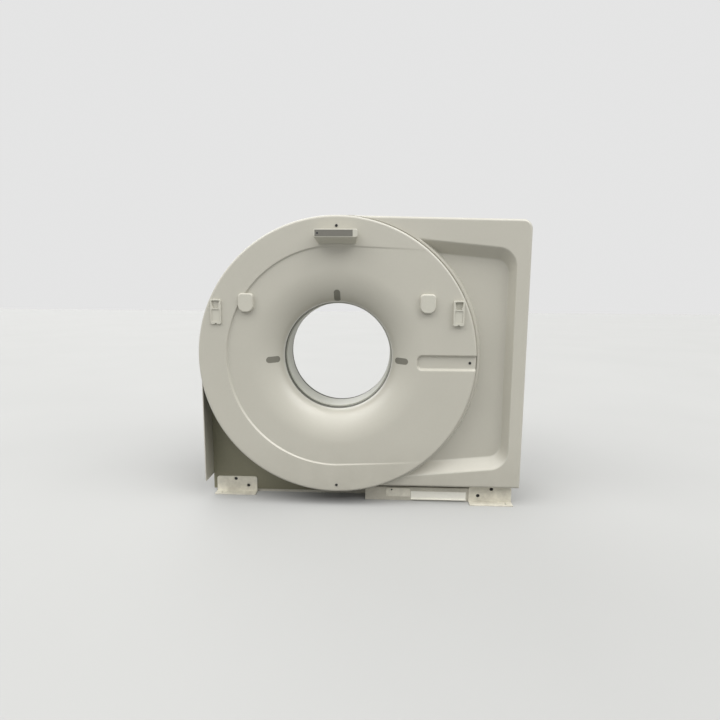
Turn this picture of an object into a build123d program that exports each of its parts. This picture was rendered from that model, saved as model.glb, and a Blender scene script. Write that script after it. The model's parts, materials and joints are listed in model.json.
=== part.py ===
"""A computed tomography scanner's gantry, with its rotor, drive, covers and floor frame.

X runs to the viewer's right, Y into the bore and Z up, in millimetres. The origin is on the
floor, straight under the point where the bore's axis meets the scan plane.
"""

from build123d import *
from math import acos, atan, atan2, cos, degrees, hypot, radians, sin, sqrt, tan
import os

os.makedirs("parts", exist_ok=True)

# Bore, the front disc's rings laid out from it, and the overall reach
bore_radius = 350.0  # clear radius of the patient tunnel
lip_rise = 10.0  # bore to the funnel's lip
gasket_rise = 6.0  # bore to the gaskets
funnel_flare = 215.0  # lip to the funnel's outer edge
flat_width = 131.0  # funnel to the step, at the left
band_width = 194.0  # step to the rim, at the left
lip_radius = bore_radius + lip_rise
gasket_radius = bore_radius + gasket_rise
funnel_radius = lip_radius + funnel_flare  # where the funnel leaves the flat field
step_radius = funnel_radius + flat_width
disc_radius = step_radius + band_width
disc_clearance = 100.0  # floor to the disc
iso_height = disc_radius + disc_clearance  # floor to the bore's axis
front_reach = 295.0  # scan plane to the front disc's proud face
rear_reach = 485.0  # scan plane to the rear face
tunnel_length = 190.0
tunnel_wall = 8.0
tunnel_flange = 10.0  # how far the tunnel's end flanges stand out
tunnel_round = 3.0

# Common walls and clearances
cover_wall = 6.0
disc_wall = 8.0
seat_gap = 0.3  # between a piece and its curved seat
seam = 0.6  # between two covers that meet

# Front disc, its features placed from the rim
disc_edge_radius = 40.0
skirt_depth = 70.0
lip_land = 8.0
gasket_length = 55.0
gasket_groove = 2.5
step_depth = 14.0  # of the inner field below the outer band, at the left
step_fall = 2.6  # degrees by which the step's straight runs close in
step_slope = 12.0  # width of the step's sloping wall
fade_margin = 310.0
fade_x = disc_radius - fade_margin  # where the band has sunk into the field
fade_radius = 8000.0  # of the soft bend there
channel_length = 385.0
channel_start = disc_radius - channel_length
channel_drop = 23.0  # of the channel's middle below the axis
channel_height = 104.0
channel_depth = 18.0
channel_slope = 16.0  # width of its sloping walls
channel_corner = 38.0
top_screw_margin, foot_screw_margin, channel_screw_margin = 66.0, 49.0, 42.0  # from the rim
screw_radius = 4.0
screw_hole = 5.0
screw_head_radius = 9.0
screw_head_height = 5.0
screw_head_draft = 20.0  # degrees
screw_socket = 4.0
screw_length = 34.0
thread_play = 0.05
post_radius = 14.0
post_foot_radius, post_foot = 22.0, 8.0

# Fittings on the front disc
pad_margin = 321.0  # rim to the docks' middle, along the axis' level
pad_x, pad_z = disc_radius - pad_margin, 353.0
pad_width, pad_height, pad_depth = 102.0, 124.0, 28.0
pad_draft = 4.0
pad_corner = 26.0
pad_foot_corner = 44.0
pad_edge = 7.0
fitting_wall = 4.0
holder_margin = 127.0  # rim to the holders' middle, along the axis' level
holder_x, holder_z = disc_radius - holder_margin, 295.0
holder_width, holder_height, holder_depth = 68.0, 159.0, 24.0
holder_rim = 8.0
holder_corner = 10.0
holder_edge = 3.0
holder_bar = 8.0
holder_lip = 19.0
holder_floor = 4.0
holder_notch = 8.0
pocket_height = 48.0
pocket_taper = 80.0  # degrees
pocket_corner = 6.0
tray_depth = 5.0
pod_left, pod_right = -132.0, 138.0
pod_margin = 89.0  # rim to the pod's top
pod_top = disc_radius - pod_margin
pod_height = 90.0  # at its foot
pod_draft = 14.0  # by which each end of the foot stands in from the front
pod_reach = 114.0  # out from the field
pod_face_drop, pod_face_height = 10.0, 48.0
pod_corner = 12.0
pod_round = 4.0
pod_floor = 14.0  # of its front
display_inset, display_far_inset = 9.0, 30.0  # from the pod's left and right ends
display_height = 40.0
display_depth = 6.0
lens_inset = 16.0  # from the window's left end
lens_radius = 6.0
lens_rise = 1.0
top_laser_reach, side_laser_reach = 38.0, 58.0  # lip to a window's middle
laser_fall = 2.5  # degrees by which the side windows lie below the axis
laser_length, laser_width = 98.0, 42.0
laser_plate = 3.0
laser_inset = 0.5  # of the window's face below the funnel
laser_module_depth = 46.0
module_width, module_length, module_corner = 52.0, 104.0, 6.0
module_lens, module_stub = 14.0, 12.0

# Body outline, measured from the bore's axis
body_margin = 7.0
body_radius = disc_radius + body_margin
wing_width = 318.0  # how far the wing stands out past the round body
wing_right = body_radius + wing_width
wing_fall = 0.0205  # fall of the top edge per millimetre to the right
wing_corner = 60.0
body_clearance = 130.0  # floor to the covers' lower edge
body_bottom = body_clearance - iso_height
body_edge = 18.0  # rounding of the outer edges

# Wing's front cover
wing_left = 110.0
wing_foot_left = 330.0
wing_setback = 60.0  # its face behind the disc's
wing_depth = 115.0
recess_depth = 70.0
bevel_width = 82.0
side_bevel = 43.0  # the narrower bevel at the right
collar_gap = 6.0  # groove round the disc
collar_width = 35.0  # the disc's rim to the collar's crest
collar_crest = disc_radius + collar_width
recess_side, recess_head, recess_sill = 85.0, 143.0, 70.0  # flat rims round the bowl
recess_right = wing_right - recess_side
recess_corner = 115.0
recess_line_x = 540.0  # where the next two heights are taken
recess_top = body_radius - recess_head
recess_foot = body_bottom + recess_sill
recess_slope = 0.1  # by which both lines close in to the right

# Rear cover
rear_depth = 85.0
rear_funnel_radius = funnel_radius
rear_funnel_pull = bore_radius + 90.0  # radius towards which the rear funnel is drawn
grille_inset = 240.0  # wing's right edge to the grille's middle
grille_x, grille_z = wing_right - grille_inset, 190.0
grille_width, grille_height = 300.0, 620.0
grille_slot, grille_pitch = 9.0, 20.0
grille_plate = 3.0
grille_margin = 22.0
fan_size, fan_depth = 250.0, 60.0
fan_offset = 150.0
fan_blades = 7
fan_hub_radius = 45.0
fan_wall, fan_corner = 9.0, 14.0
fan_tip_gap, fan_end_gap = 4.0, 3.0
fan_arm = 8.0
fan_pin_radius = 6.0
blade_chord, blade_thick = 52.0, 3.0
blade_root, blade_tip = 42.0, 26.0  # degrees

# Floor frame
base_height = 95.0
base_inset_left, base_inset_right = 57.0, 35.0  # from the covers' sides
base_left, base_right = base_inset_left - body_radius, wing_right - base_inset_right
base_front_left, base_front_right = -64.0, -165.0
base_rear = 398.0
base_step_x = 190.0
rail_width = 80.0
base_chamfer = 3.0
bracket_left, bracket_right = base_left - 26.0, base_right - 2.0
base_middle = (bracket_left + bracket_right) / 2  # the brackets mirror about it
panel_thickness = 6.0
panel_foot = 20.0
panel_left = -disc_radius
panel_grooves = [19.0, 660.0]  # from its left edge
panel_groove = 2.0
panel_top = -300.0
panel_gap = 15.0  # round the rotor
sill_height, sill_foot = 55.0, 12.0
sill_sheet, sill_lip = 3.0, 14.0
bracket_length = 289.0
bracket_outer = bracket_right - base_middle
bracket_inner = bracket_outer - bracket_length
sill_gap, sill_length = 19.0, 375.0
sill_right = base_middle + bracket_inner - sill_gap
sill_left = sill_right - sill_length
guard_gap, guard_length = 4.0, 168.0
guard_right = sill_left - guard_gap
guard_left = guard_right - guard_length
guard_height, guard_foot = 62.0, 28.0
guard_hole_x, guard_hole_drop, guard_hole_radius = guard_left + 39.0, 14.0, 6.0
bracket_height = 112.0
bracket_plate = 6.0
bracket_flange = 62.0
bracket_corner = 18.0
anchor_out = bracket_outer - 45.0
anchor_reach = 34.0
anchor_radius = 9.0
plate_holes = [(bracket_outer - 136.0, 94.0), (bracket_outer - 226.0, 46.0)]
plate_hole_radius = 12.5

# Rotor
rotor_margin, rotor_clearance = 110.0, 12.0  # inside the disc's rim, round the tunnel
rotor_radius = disc_radius - rotor_margin
rotor_bore = bore_radius + tunnel_wall + tunnel_flange + rotor_clearance
rotor_plate_front, rotor_plate = 60.0, 30.0
rim_wall, rim_front = 25.0, -120.0
rotor_pockets = 10
rotor_pocket_radius = 46.0
rotor_pocket_circle = rotor_radius - 100.0
rotor_pocket_turn = 18.0  # degrees
belt_width, belt_thickness, belt_margin = 20.0, 6.0, 1.0
belt_groove = 6.0

# Bearing, with crossed rollers between two V races
bearing_radius = rotor_bore + 180.0
race_gap = 6.0
inner_race_radius, outer_race_radius = bearing_radius - 45.0, bearing_radius + 55.0
race_length = 56.0
bearing_offset = 30.0  # rotor's plate to the rollers' middle
roller_size = 20.0
roller_play = 0.3
roller_count = 24

# Units on the rotor
tube_margin = 68.0  # rotor's rim to the tube's housing
tube_radius = 120.0
tube_circle = rotor_radius - tube_margin - tube_radius
focus_height = tube_circle - 32.0
tube_front = -175.0
tube_band, tube_collar, tube_socket = 18.0, 6.0, 26.0
collimator_gap = 6.0  # under the tube
collimator_low = rotor_bore + 22.0
collimator_high = tube_circle - tube_radius - collimator_gap
collimator_width, collimator_top_width = 250.0, 130.0
collimator_front = -62.0
collimator_slit = 90.0
beam_half = 42.0  # half of the beam's width along the bore
detector_drop = bore_radius + 132.0  # under the bore's axis
detector_radius = focus_height + detector_drop  # from the focus
detector_thick = 92.0
detector_half_angle = 26.5
detector_front = -62.0
detector_wall = 12.0
detector_modules = 23
module_depth, module_gap = 8.0, 1.0
unit_circle = rotor_radius - 198.0
unit_corner, unit_edge, unit_fin = 16.0, 5.0, 10.0
hv_fins, inverter_fins, cooler_fins, control_fins = 4, 9, 16, 3
hv_margin, inverter_margin, cooler_margin, control_margin = 62.0, 37.0, 33.0, 50.0
hv_size = (300.0, 220.0, 190.0)
inverter_size = (290.0, 210.0, 165.0)
cooler_size = (290.0, 210.0, 150.0)
control_size = (280.0, 200.0, 120.0)
hv_angle, cooler_angle, inverter_angle, control_angle = 42.0, 138.0, 1.0, 179.0

# Slip ring, stator and drive
slip_inner, slip_outer = rotor_bore + 25.0, rotor_bore + 120.0
slip_rear = 236.0
slip_front = 192.0
slip_foot, slip_wall = rotor_bore + 90.0, 34.0
slip_levels = [201.0, 214.0, 227.0]
slip_track, slip_groove = 8.0, 3.0
stator_front, stator_plate = 150.0, 40.0
stator_bore = bearing_radius + 15.0
stator_radius = rotor_radius
stator_half_width = stator_radius - 10.0
stator_shoulder = -360.0
rib_depth, rib_thick, rib_x = 170.0, 20.0, 540.0
stator_ear = 30.0
brush_reach = slip_outer + 145.0
brush_width = 120.0
brush_clear = 12.0
brush_angle = -60.0
motor_x, motor_z = 100.0 - rotor_radius, 100.0 - rotor_radius
pulley_radius = 60.0
shaft_radius = 16.0
shaft_play = 0.05
shaft_hole_gap = 6.0
shaft_end_gap = 2.0
pulley_flange = 6.0
pulley_hole_circle, pulley_hole, pulley_holes = 38.0, 9.0, 6
motor_radius, motor_length = 78.0, 170.0
motor_corner, motor_flange, motor_bore = 20.0, 12.0, 60.0
motor_fins, motor_fin = 24, 6.0

# Units in the wing
cabinet_width, computer_width = 315.0, 265.0
cabinet_right = wing_right - 30.0
cabinet_left = cabinet_right - cabinet_width
cabinet_front, cabinet_rear = -110.0, 330.0
cabinet_top = -60.0
computer_top = 330.0
computer_left = cabinet_right - computer_width
computer_front, computer_rear = -60.0, 250.0
computer_bays, computer_bay = 4, 60.0
louvres, louvre_pitch = 12, 24.0

# Levels that follow
face_y = -front_reach
field_y = face_y + step_depth
lip_y = -(tunnel_length / 2 + gasket_length)
land_y = lip_y - lip_land
skirt_y = face_y + skirt_depth
wing_y = face_y + wing_setback
wing_back_y = wing_y + wing_depth
rear_edge_y = rear_reach - rear_depth
floor_level = -iso_height
base_top = floor_level + base_height
screw_places = [
    (0, disc_radius - top_screw_margin),
    (0, foot_screw_margin - disc_radius),
    (disc_radius - channel_screw_margin, -channel_drop),
]
bore_axis = Axis((0, 0, iso_height), (0, 1, 0))
meridian = Plane(origin=(0, 0, iso_height), x_dir=(1, 0, 0), z_dir=(0, 0, 1))

# Funnel: a quarter ellipse between the bore's lip and the flat field
funnel_width = funnel_radius - lip_radius
funnel_drop = land_y - field_y
laser_places = [
    (90, lip_radius + top_laser_reach),
    (180 + laser_fall, lip_radius + side_laser_reach),
    (-laser_fall, lip_radius + side_laser_reach),
]


def facing(y):
    """Upright plane at depth y, looked at from the front, with its origin on the bore's axis."""
    return Plane(origin=(0, y, iso_height), x_dir=(1, 0, 0), z_dir=(0, -1, 0))


def around(angle, radius, y):
    """Facing plane at an angle round the bore, with its local y pointing away from the axis."""
    a = radians(angle)
    return Plane(
        origin=(radius * cos(a), y, iso_height + radius * sin(a)),
        x_dir=(sin(a), 0, -cos(a)),
        z_dir=(0, -1, 0),
    )


def on_funnel(angle, radius):
    """Plane that touches the funnel at an angle and a radius, with its local y along the slope."""
    a = radians(angle)
    turn = acos((funnel_radius - radius) / funnel_width)
    out = funnel_drop * cos(turn)
    front = funnel_width * sin(turn)
    return Plane(
        origin=(radius * cos(a), land_y - funnel_drop * sin(turn), iso_height + radius * sin(a)),
        x_dir=(-sin(a), 0, cos(a)),
        z_dir=(-out * cos(a), -front, -out * sin(a)),
    )


def band_level(x):
    """Depth of the outer band's surface, from the face at the left to the field at fade_x."""
    return min(field_y, face_y + step_depth * (x + disc_radius) / (fade_x + disc_radius))


# The front disc's form. The wall is what lies between this form and the same form drawn in.


def pad_outline(grow):
    """Outline of a tablet dock's foot, with a rounder lower edge."""
    with BuildSketch(mode=Mode.PRIVATE) as outline:
        Rectangle(pad_width + 2 * grow, pad_height + 2 * grow)
        fillet(outline.vertices().group_by(Axis.Y)[0], pad_foot_corner + grow)
        fillet(outline.vertices().group_by(Axis.Y)[-1], pad_corner + grow)
    return outline.sketch


def fittings_outline(grow):
    """Feet of everything seated on the disc, each drawn out by grow."""
    with BuildSketch(mode=Mode.PRIVATE) as outline:
        for side in (-1, 1):
            with Locations((side * pad_x, pad_z)):
                add(pad_outline(grow))
            with Locations((side * holder_x, holder_z)):
                RectangleRounded(
                    holder_width + 2 * grow, holder_height + 2 * grow, holder_corner + grow
                )
        with Locations(((pod_left + pod_right) / 2, pod_top - pod_height / 2)):
            RectangleRounded(
                pod_right - pod_left - 2 * pod_draft * (1 - step_depth / pod_reach) + 2 * grow,
                pod_height + 2 * grow,
                pod_corner + grow,
            )
    return outline.sketch


def step_outline(grow):
    """The inner field: a half circle at the left, and two straight runs that close in."""
    radius = step_radius + grow
    fall = radians(step_fall)
    start = (radius * sin(fall), radius * cos(fall))
    far = fade_x + disc_edge_radius
    far_height = start[1] - (far - start[0]) * tan(fall)
    with BuildSketch(mode=Mode.PRIVATE) as outline:
        with BuildLine():
            ThreePointArc(start, (-radius, 0), (start[0], -start[1]))
            Polyline((start[0], -start[1]), (far, -far_height), (far, far_height), start)
        make_face()
    return outline.sketch


def channel_outline(grow):
    """The open recess that runs out at the disc's right edge."""
    far = disc_radius + channel_height
    start = channel_start - grow
    with BuildSketch(mode=Mode.PRIVATE) as outline:
        with Locations(((start + far) / 2, -channel_drop)):
            RectangleRounded(far - start, channel_height + 2 * grow, channel_corner + grow)
    return outline.sketch


def disc_form(inset, skirt, lip):
    """The disc's shape drawn in by inset, as a solid that ends at skirt, and at lip by the bore."""
    rim = disc_radius - inset
    edge = disc_edge_radius - inset
    field = field_y + inset
    front = face_y - step_depth
    inner = lip_radius + inset
    far = disc_radius + disc_clearance
    with BuildPart() as form:
        with BuildSketch(facing(skirt)):
            Circle(rim)
        extrude(amount=skirt - front)
        with BuildSketch(Plane.XY):
            with BuildLine():
                Polyline(
                    (-far, band_level(-far) + inset),
                    (fade_x, field),
                    (far, field),
                    (far, 2 * front),
                    (-far, 2 * front),
                    close=True,
                )
            crown = make_face()
            fillet(crown.vertices().sort_by_distance((fade_x, field))[0], fade_radius)
        extrude(amount=iso_height + far, mode=Mode.SUBTRACT)
        sides = form.edges().filter_by(GeomType.LINE, reverse=True)
        fillet([side for side in sides if side.bounding_box().max.Y < skirt - 1], edge)
        with BuildSketch(facing(lip)):
            Circle(funnel_radius)
        extrude(amount=lip - field)
        with BuildSketch(meridian):
            with BuildLine():
                EllipticalCenterArc(
                    (funnel_radius, land_y),
                    funnel_radius - inner,
                    land_y - field,
                    start_angle=180,
                    arc_size=90,
                )
                Polyline(
                    (funnel_radius, field),
                    (funnel_radius + step_slope, field),
                    (funnel_radius + step_slope, 2 * front),
                    (0, 2 * front),
                    (0, far),
                    (inner, far),
                    (inner, land_y),
                )
            make_face()
        revolve(axis=bore_axis, mode=Mode.SUBTRACT)
        with BuildSketch(facing(field)):
            add(step_outline(inset))
        with BuildSketch(facing(front)):
            add(step_outline(inset + step_slope * (field - front) / step_depth))
        loft(ruled=True, mode=Mode.SUBTRACT)
        with BuildSketch(facing(field)):
            add(fittings_outline(seat_gap + inset))
        extrude(amount=2 * step_depth, mode=Mode.SUBTRACT)
        with BuildSketch(facing(field_y + channel_depth + inset)):
            add(channel_outline(inset - channel_slope))
        with BuildSketch(facing(field_y - channel_depth)):
            add(channel_outline(inset + channel_slope))
        loft(ruled=True, mode=Mode.SUBTRACT)
    return form.part


with BuildPart() as front_disc_cover:
    add(disc_form(0, skirt_y, lip_y))
    add(disc_form(disc_wall, lip_y + gasket_length, lip_y + gasket_length), mode=Mode.SUBTRACT)
    with BuildSketch(facing(skirt_y)):
        with Locations(*screw_places):
            Circle(screw_hole)
    extrude(amount=skirt_depth + step_depth, mode=Mode.SUBTRACT)
    for place in laser_places:
        with BuildSketch(on_funnel(*place)):
            SlotOverall(laser_length, laser_width, rotation=90)
        extrude(amount=3 * disc_wall, both=True, mode=Mode.SUBTRACT)
front_disc_cover.part.label = "front_disc_cover"
export_step(front_disc_cover.part, "parts/front_disc_cover.step")


def seat_level(x):
    """Depth of the disc's surface under a cover screw."""
    return field_y + channel_depth if x > channel_start else band_level(x)


with BuildPart() as cover_screws:
    for x, z in screw_places:
        with BuildSketch(facing(seat_level(x) - seat_gap)):
            with Locations((x, z)):
                Circle(screw_head_radius)
        extrude(amount=screw_head_height, taper=screw_head_draft)
        with BuildSketch(facing(seat_level(x) - seat_gap)):
            with Locations((x, z)):
                Circle(screw_radius)
        extrude(amount=-screw_length)
        with BuildSketch(facing(seat_level(x) - seat_gap - screw_head_height)):
            with Locations((x, z)):
                RegularPolygon(screw_socket, 6)
        extrude(amount=-screw_head_height / 2, mode=Mode.SUBTRACT)
cover_screws.part.label = "cover_screws"
export_step(cover_screws.part, "parts/cover_screws.step")

with BuildPart() as cover_posts:
    for x, z in screw_places:
        post_front = seat_level(x) + disc_wall + seat_gap
        with BuildSketch(facing(stator_front)):
            with Locations((x, z)):
                Circle(post_radius)
        extrude(amount=stator_front - post_front)
        with BuildSketch(facing(post_front)):
            with Locations((x, z)):
                Circle(screw_radius + thread_play)
        extrude(amount=-screw_length, mode=Mode.SUBTRACT)
        with BuildSketch(facing(stator_front)):
            with Locations((x, z)):
                Circle(post_foot_radius)
        extrude(amount=post_foot)
cover_posts.part.label = "cover_posts"
export_step(cover_posts.part, "parts/cover_posts.step")


def funnel_layer(front, rear):
    """Turned layer that follows the funnel, between two depths under its surface."""
    with BuildPart() as layer:
        with BuildSketch(meridian):
            with BuildLine():
                for depth in (front, rear):
                    EllipticalCenterArc(
                        (funnel_radius, land_y),
                        funnel_width - depth,
                        funnel_drop - depth,
                        start_angle=180,
                        arc_size=90,
                    )
                Line((lip_radius + front, land_y), (lip_radius + rear, land_y))
                Line((funnel_radius, field_y + front), (funnel_radius, field_y + rear))
            make_face()
        revolve(axis=bore_axis)
    return layer.part


def laser_window(place):
    """Tinted pane that lies just under the funnel's surface."""
    with BuildPart() as pane:
        with BuildSketch(on_funnel(*place)):
            SlotOverall(laser_length - 2 * seat_gap, laser_width - 2 * seat_gap, rotation=90)
        extrude(amount=3 * disc_wall, both=True)
        add(funnel_layer(laser_inset, laser_inset + laser_plate), mode=Mode.INTERSECT)
    return pane.part


def laser_module(place):
    """Line laser behind a window, its front shaped to the wall."""
    cover_back = disc_wall + seat_gap
    with BuildPart() as module:
        with BuildSketch(on_funnel(*place)):
            RectangleRounded(module_width, module_length, module_corner)
        extrude(amount=-laser_module_depth)
        with BuildSketch(on_funnel(*place)):
            Circle(module_lens)
        extrude(amount=-laser_module_depth - module_stub)
        add(funnel_layer(cover_back, funnel_drop - 1), mode=Mode.INTERSECT)
    return module.part


with BuildPart() as top_laser_window:
    add(laser_window(laser_places[0]))
top_laser_window.part.label = "top_laser_window"
export_step(top_laser_window.part, "parts/top_laser_window.step")

with BuildPart() as left_laser_window:
    add(laser_window(laser_places[1]))
left_laser_window.part.label = "left_laser_window"
export_step(left_laser_window.part, "parts/left_laser_window.step")

with BuildPart() as right_laser_window:
    add(laser_window(laser_places[2]))
right_laser_window.part.label = "right_laser_window"
export_step(right_laser_window.part, "parts/right_laser_window.step")

with BuildPart() as top_laser_module:
    add(laser_module(laser_places[0]))
top_laser_module.part.label = "top_laser_module"
export_step(top_laser_module.part, "parts/top_laser_module.step")

with BuildPart() as left_laser_module:
    add(laser_module(laser_places[1]))
left_laser_module.part.label = "left_laser_module"
export_step(left_laser_module.part, "parts/left_laser_module.step")

with BuildPart() as right_laser_module:
    add(laser_module(laser_places[2]))
right_laser_module.part.label = "right_laser_module"
export_step(right_laser_module.part, "parts/right_laser_module.step")

# Bore, from the front gasket through the tunnel ring to the rear gasket


def gasket_profile(start, end):
    """Section of a bore gasket with two shallow grooves."""
    length = end - start
    with BuildSketch(mode=Mode.PRIVATE) as section:
        with Locations(((gasket_radius + lip_radius + disc_wall) / 2, (start + end) / 2)):
            Rectangle(lip_radius + disc_wall - gasket_radius, length)
        with Locations(*[(gasket_radius, start + length * part) for part in (1 / 3, 2 / 3)]):
            Circle(gasket_groove, mode=Mode.SUBTRACT)
    return section.sketch


with BuildPart() as bore_gasket:
    with BuildSketch(meridian):
        add(gasket_profile(lip_y, -tunnel_length / 2))
    revolve(axis=bore_axis)
bore_gasket.part.label = "bore_gasket"
export_step(bore_gasket.part, "parts/bore_gasket.step")

with BuildPart() as rear_gasket:
    with BuildSketch(meridian):
        add(gasket_profile(tunnel_length / 2, -lip_y))
    revolve(axis=bore_axis)
rear_gasket.part.label = "rear_gasket"
export_step(rear_gasket.part, "parts/rear_gasket.step")

with BuildPart() as tunnel_ring:
    with BuildSketch(meridian):
        with Locations((bore_radius + (tunnel_wall + tunnel_flange) / 2, 0)):
            Rectangle(tunnel_wall + tunnel_flange, tunnel_length)
        with Locations((bore_radius + tunnel_wall + tunnel_flange / 2, 0)):
            Rectangle(tunnel_flange, tunnel_length - 2 * tunnel_flange, mode=Mode.SUBTRACT)
    revolve(axis=bore_axis)
    fillet(tunnel_ring.edges().filter_by(GeomType.CIRCLE).group_by(SortBy.RADIUS)[0], tunnel_round)
tunnel_ring.part.label = "tunnel_ring"
export_step(tunnel_ring.part, "parts/tunnel_ring.step")

# Fittings on the front disc


def tablet_dock(side):
    """Hollow pad on the disc, at the left for side -1 and at the right for side 1."""
    face = field_y - pad_depth
    with BuildPart() as pad:
        with BuildSketch(facing(field_y)):
            with Locations((side * pad_x, pad_z)):
                add(pad_outline(0))
        with BuildSketch(facing(face)):
            with Locations((side * pad_x, pad_z)):
                add(pad_outline(-pad_draft))
        loft(ruled=True)
        fillet(pad.faces().sort_by(Axis.Y)[0].edges(), pad_edge)
        with BuildSketch(facing(field_y)):
            with Locations((side * pad_x, pad_z)):
                add(pad_outline(-fitting_wall))
        with BuildSketch(facing(face + fitting_wall)):
            with Locations((side * pad_x, pad_z)):
                add(pad_outline(-pad_draft - fitting_wall))
        loft(ruled=True, mode=Mode.SUBTRACT)
    return pad.part


def remote_holder(side):
    """Shallow open holder: a deep tapering pocket, a cross bar, a tray and a notched lip."""
    front = field_y - holder_depth
    inner_width = holder_width - 2 * holder_rim
    pocket_top = holder_height / 2 - holder_rim
    bar_top = pocket_top - pocket_height
    tray_top = bar_top - holder_bar
    tray_height = tray_top + holder_height / 2 - holder_lip
    place = (side * holder_x, holder_z)
    with BuildPart() as holder:
        with BuildSketch(facing(field_y)):
            with Locations(place):
                RectangleRounded(holder_width, holder_height, holder_corner)
        extrude(amount=holder_depth)
        fillet(holder.faces().sort_by(Axis.Y)[0].edges(), holder_edge)
        with BuildSketch(facing(front)) as pocket:
            with Locations((place[0], place[1] + bar_top + pocket_height / 2)):
                Trapezoid(inner_width, pocket_height, pocket_taper, rotation=180)
            fillet(pocket.vertices(), pocket_corner)
        extrude(amount=-holder_depth + holder_floor, mode=Mode.SUBTRACT)
        with BuildSketch(facing(front)):
            with Locations((place[0], place[1] + tray_top - tray_height / 2)):
                RectangleRounded(inner_width, tray_height, pocket_corner)
        extrude(amount=-tray_depth, mode=Mode.SUBTRACT)
        with BuildSketch(facing(front)):
            with Locations((place[0], place[1] - holder_height / 2)):
                Circle(holder_notch)
        extrude(amount=-holder_depth / 2, mode=Mode.SUBTRACT)
    return holder.part


with BuildPart() as left_tablet_dock:
    add(tablet_dock(-1))
left_tablet_dock.part.label = "left_tablet_dock"
export_step(left_tablet_dock.part, "parts/left_tablet_dock.step")

with BuildPart() as right_tablet_dock:
    add(tablet_dock(1))
right_tablet_dock.part.label = "right_tablet_dock"
export_step(right_tablet_dock.part, "parts/right_tablet_dock.step")

with BuildPart() as left_remote_holder:
    add(remote_holder(-1))
left_remote_holder.part.label = "left_remote_holder"
export_step(left_remote_holder.part, "parts/left_remote_holder.step")

with BuildPart() as right_remote_holder:
    add(remote_holder(1))
right_remote_holder.part.label = "right_remote_holder"
export_step(right_remote_holder.part, "parts/right_remote_holder.step")

# Display pod, its front leaning a little and its underside running back to the disc
pod_front = field_y - pod_reach
pod_middle = (pod_left + pod_right) / 2
pod_width = pod_right - pod_left
display_left, display_right = pod_left + display_inset, pod_right - display_far_inset
display_middle = ((display_left + display_right) / 2, pod_top - pod_face_drop - pod_face_height / 2)

with BuildPart() as display_pod_housing:
    for wall, mode in ((0, Mode.ADD), (fitting_wall, Mode.SUBTRACT)):
        with BuildSketch(facing(pod_front + (pod_floor if wall else 0))):
            with Locations((pod_middle, display_middle[1])):
                RectangleRounded(
                    pod_width - 2 * wall, pod_face_height - 2 * wall, pod_corner - wall
                )
        with BuildSketch(facing(field_y)):
            with Locations((pod_middle, pod_top - pod_height / 2)):
                RectangleRounded(
                    pod_width - 2 * pod_draft - 2 * wall, pod_height - 2 * wall, pod_corner - wall
                )
        loft(ruled=True, mode=mode)
        if not wall:
            fillet(display_pod_housing.faces().sort_by(Axis.Y)[0].edges(), pod_round)
    with BuildSketch(facing(pod_front)):
        with Locations(display_middle):
            Rectangle(display_right - display_left, display_height)
    extrude(amount=-display_depth, mode=Mode.SUBTRACT)
display_pod_housing.part.label = "display_pod_housing"
export_step(display_pod_housing.part, "parts/display_pod_housing.step")

with BuildPart() as display_window:
    with BuildSketch(facing(pod_front + display_depth)):
        with Locations(display_middle):
            Rectangle(
                display_right - display_left - 2 * seat_gap, display_height - 2 * seat_gap
            )
    extrude(amount=display_depth)
    with BuildSketch(facing(pod_front)):
        with Locations((display_left + lens_inset, display_middle[1])):
            Circle(lens_radius + seat_gap)
    extrude(amount=-display_depth / 2, mode=Mode.SUBTRACT)
display_window.part.label = "display_window"
export_step(display_window.part, "parts/display_window.step")

with BuildPart() as display_lens:
    with BuildSketch(facing(pod_front + display_depth / 2)):
        with Locations((display_left + lens_inset, display_middle[1])):
            Circle(lens_radius)
    extrude(amount=display_depth / 2 + lens_rise)
    fillet(display_lens.faces().sort_by(Axis.Y)[0].edges(), lens_rise)
display_lens.part.label = "display_lens"
export_step(display_lens.part, "parts/display_lens.step")

# Side and top skins, cut from one D-shaped tube


def body_outline(inset, foot):
    """The gantry's outline drawn in by inset and carried down to foot."""
    radius = body_radius - inset
    lean = atan(wing_fall)
    start = (radius * sin(lean), radius * cos(lean))
    right = wing_right - inset
    top_right = start[1] - (right - start[0]) * wing_fall
    with BuildSketch(mode=Mode.PRIVATE) as outline:
        with BuildLine():
            ThreePointArc(start, (-radius * sqrt(0.5), radius * sqrt(0.5)), (-radius, 0))
            Polyline((-radius, 0), (-radius, foot), (right, foot), (right, top_right), start)
        make_face()
        fillet(outline.vertices().sort_by_distance((right, top_right))[0], wing_corner - inset)
    return outline.sketch


def skin(left, right, low, front):
    """Piece of the outer skin between two x and above a height, from front to the rear cover."""
    with BuildPart() as piece:
        with BuildSketch(facing(front)):
            add(body_outline(0, body_bottom))
            add(body_outline(cover_wall, 2 * body_bottom), mode=Mode.SUBTRACT)
            with Locations(((left + right) / 2, low + iso_height)):
                Rectangle(right - left, 2 * iso_height, mode=Mode.INTERSECT)
        extrude(amount=front - rear_edge_y + seam)
    return piece.part


corner_x = wing_right - wing_corner

with BuildPart() as left_side_cover:
    add(skin(-body_radius - 1, wing_left - seam, body_bottom, skirt_y + seam))
left_side_cover.part.label = "left_side_cover"
export_step(left_side_cover.part, "parts/left_side_cover.step")

with BuildPart() as wing_top_cover:
    add(skin(wing_left, corner_x - seam, 0, wing_back_y + seam))
wing_top_cover.part.label = "wing_top_cover"
export_step(wing_top_cover.part, "parts/wing_top_cover.step")

with BuildPart() as right_side_cover:
    add(skin(corner_x, wing_right + 1, body_bottom, wing_back_y + seam))
right_side_cover.part.label = "right_side_cover"
export_step(right_side_cover.part, "parts/right_side_cover.step")

# Wing's front cover: a wide bowl with a collar that rises round the disc


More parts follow.
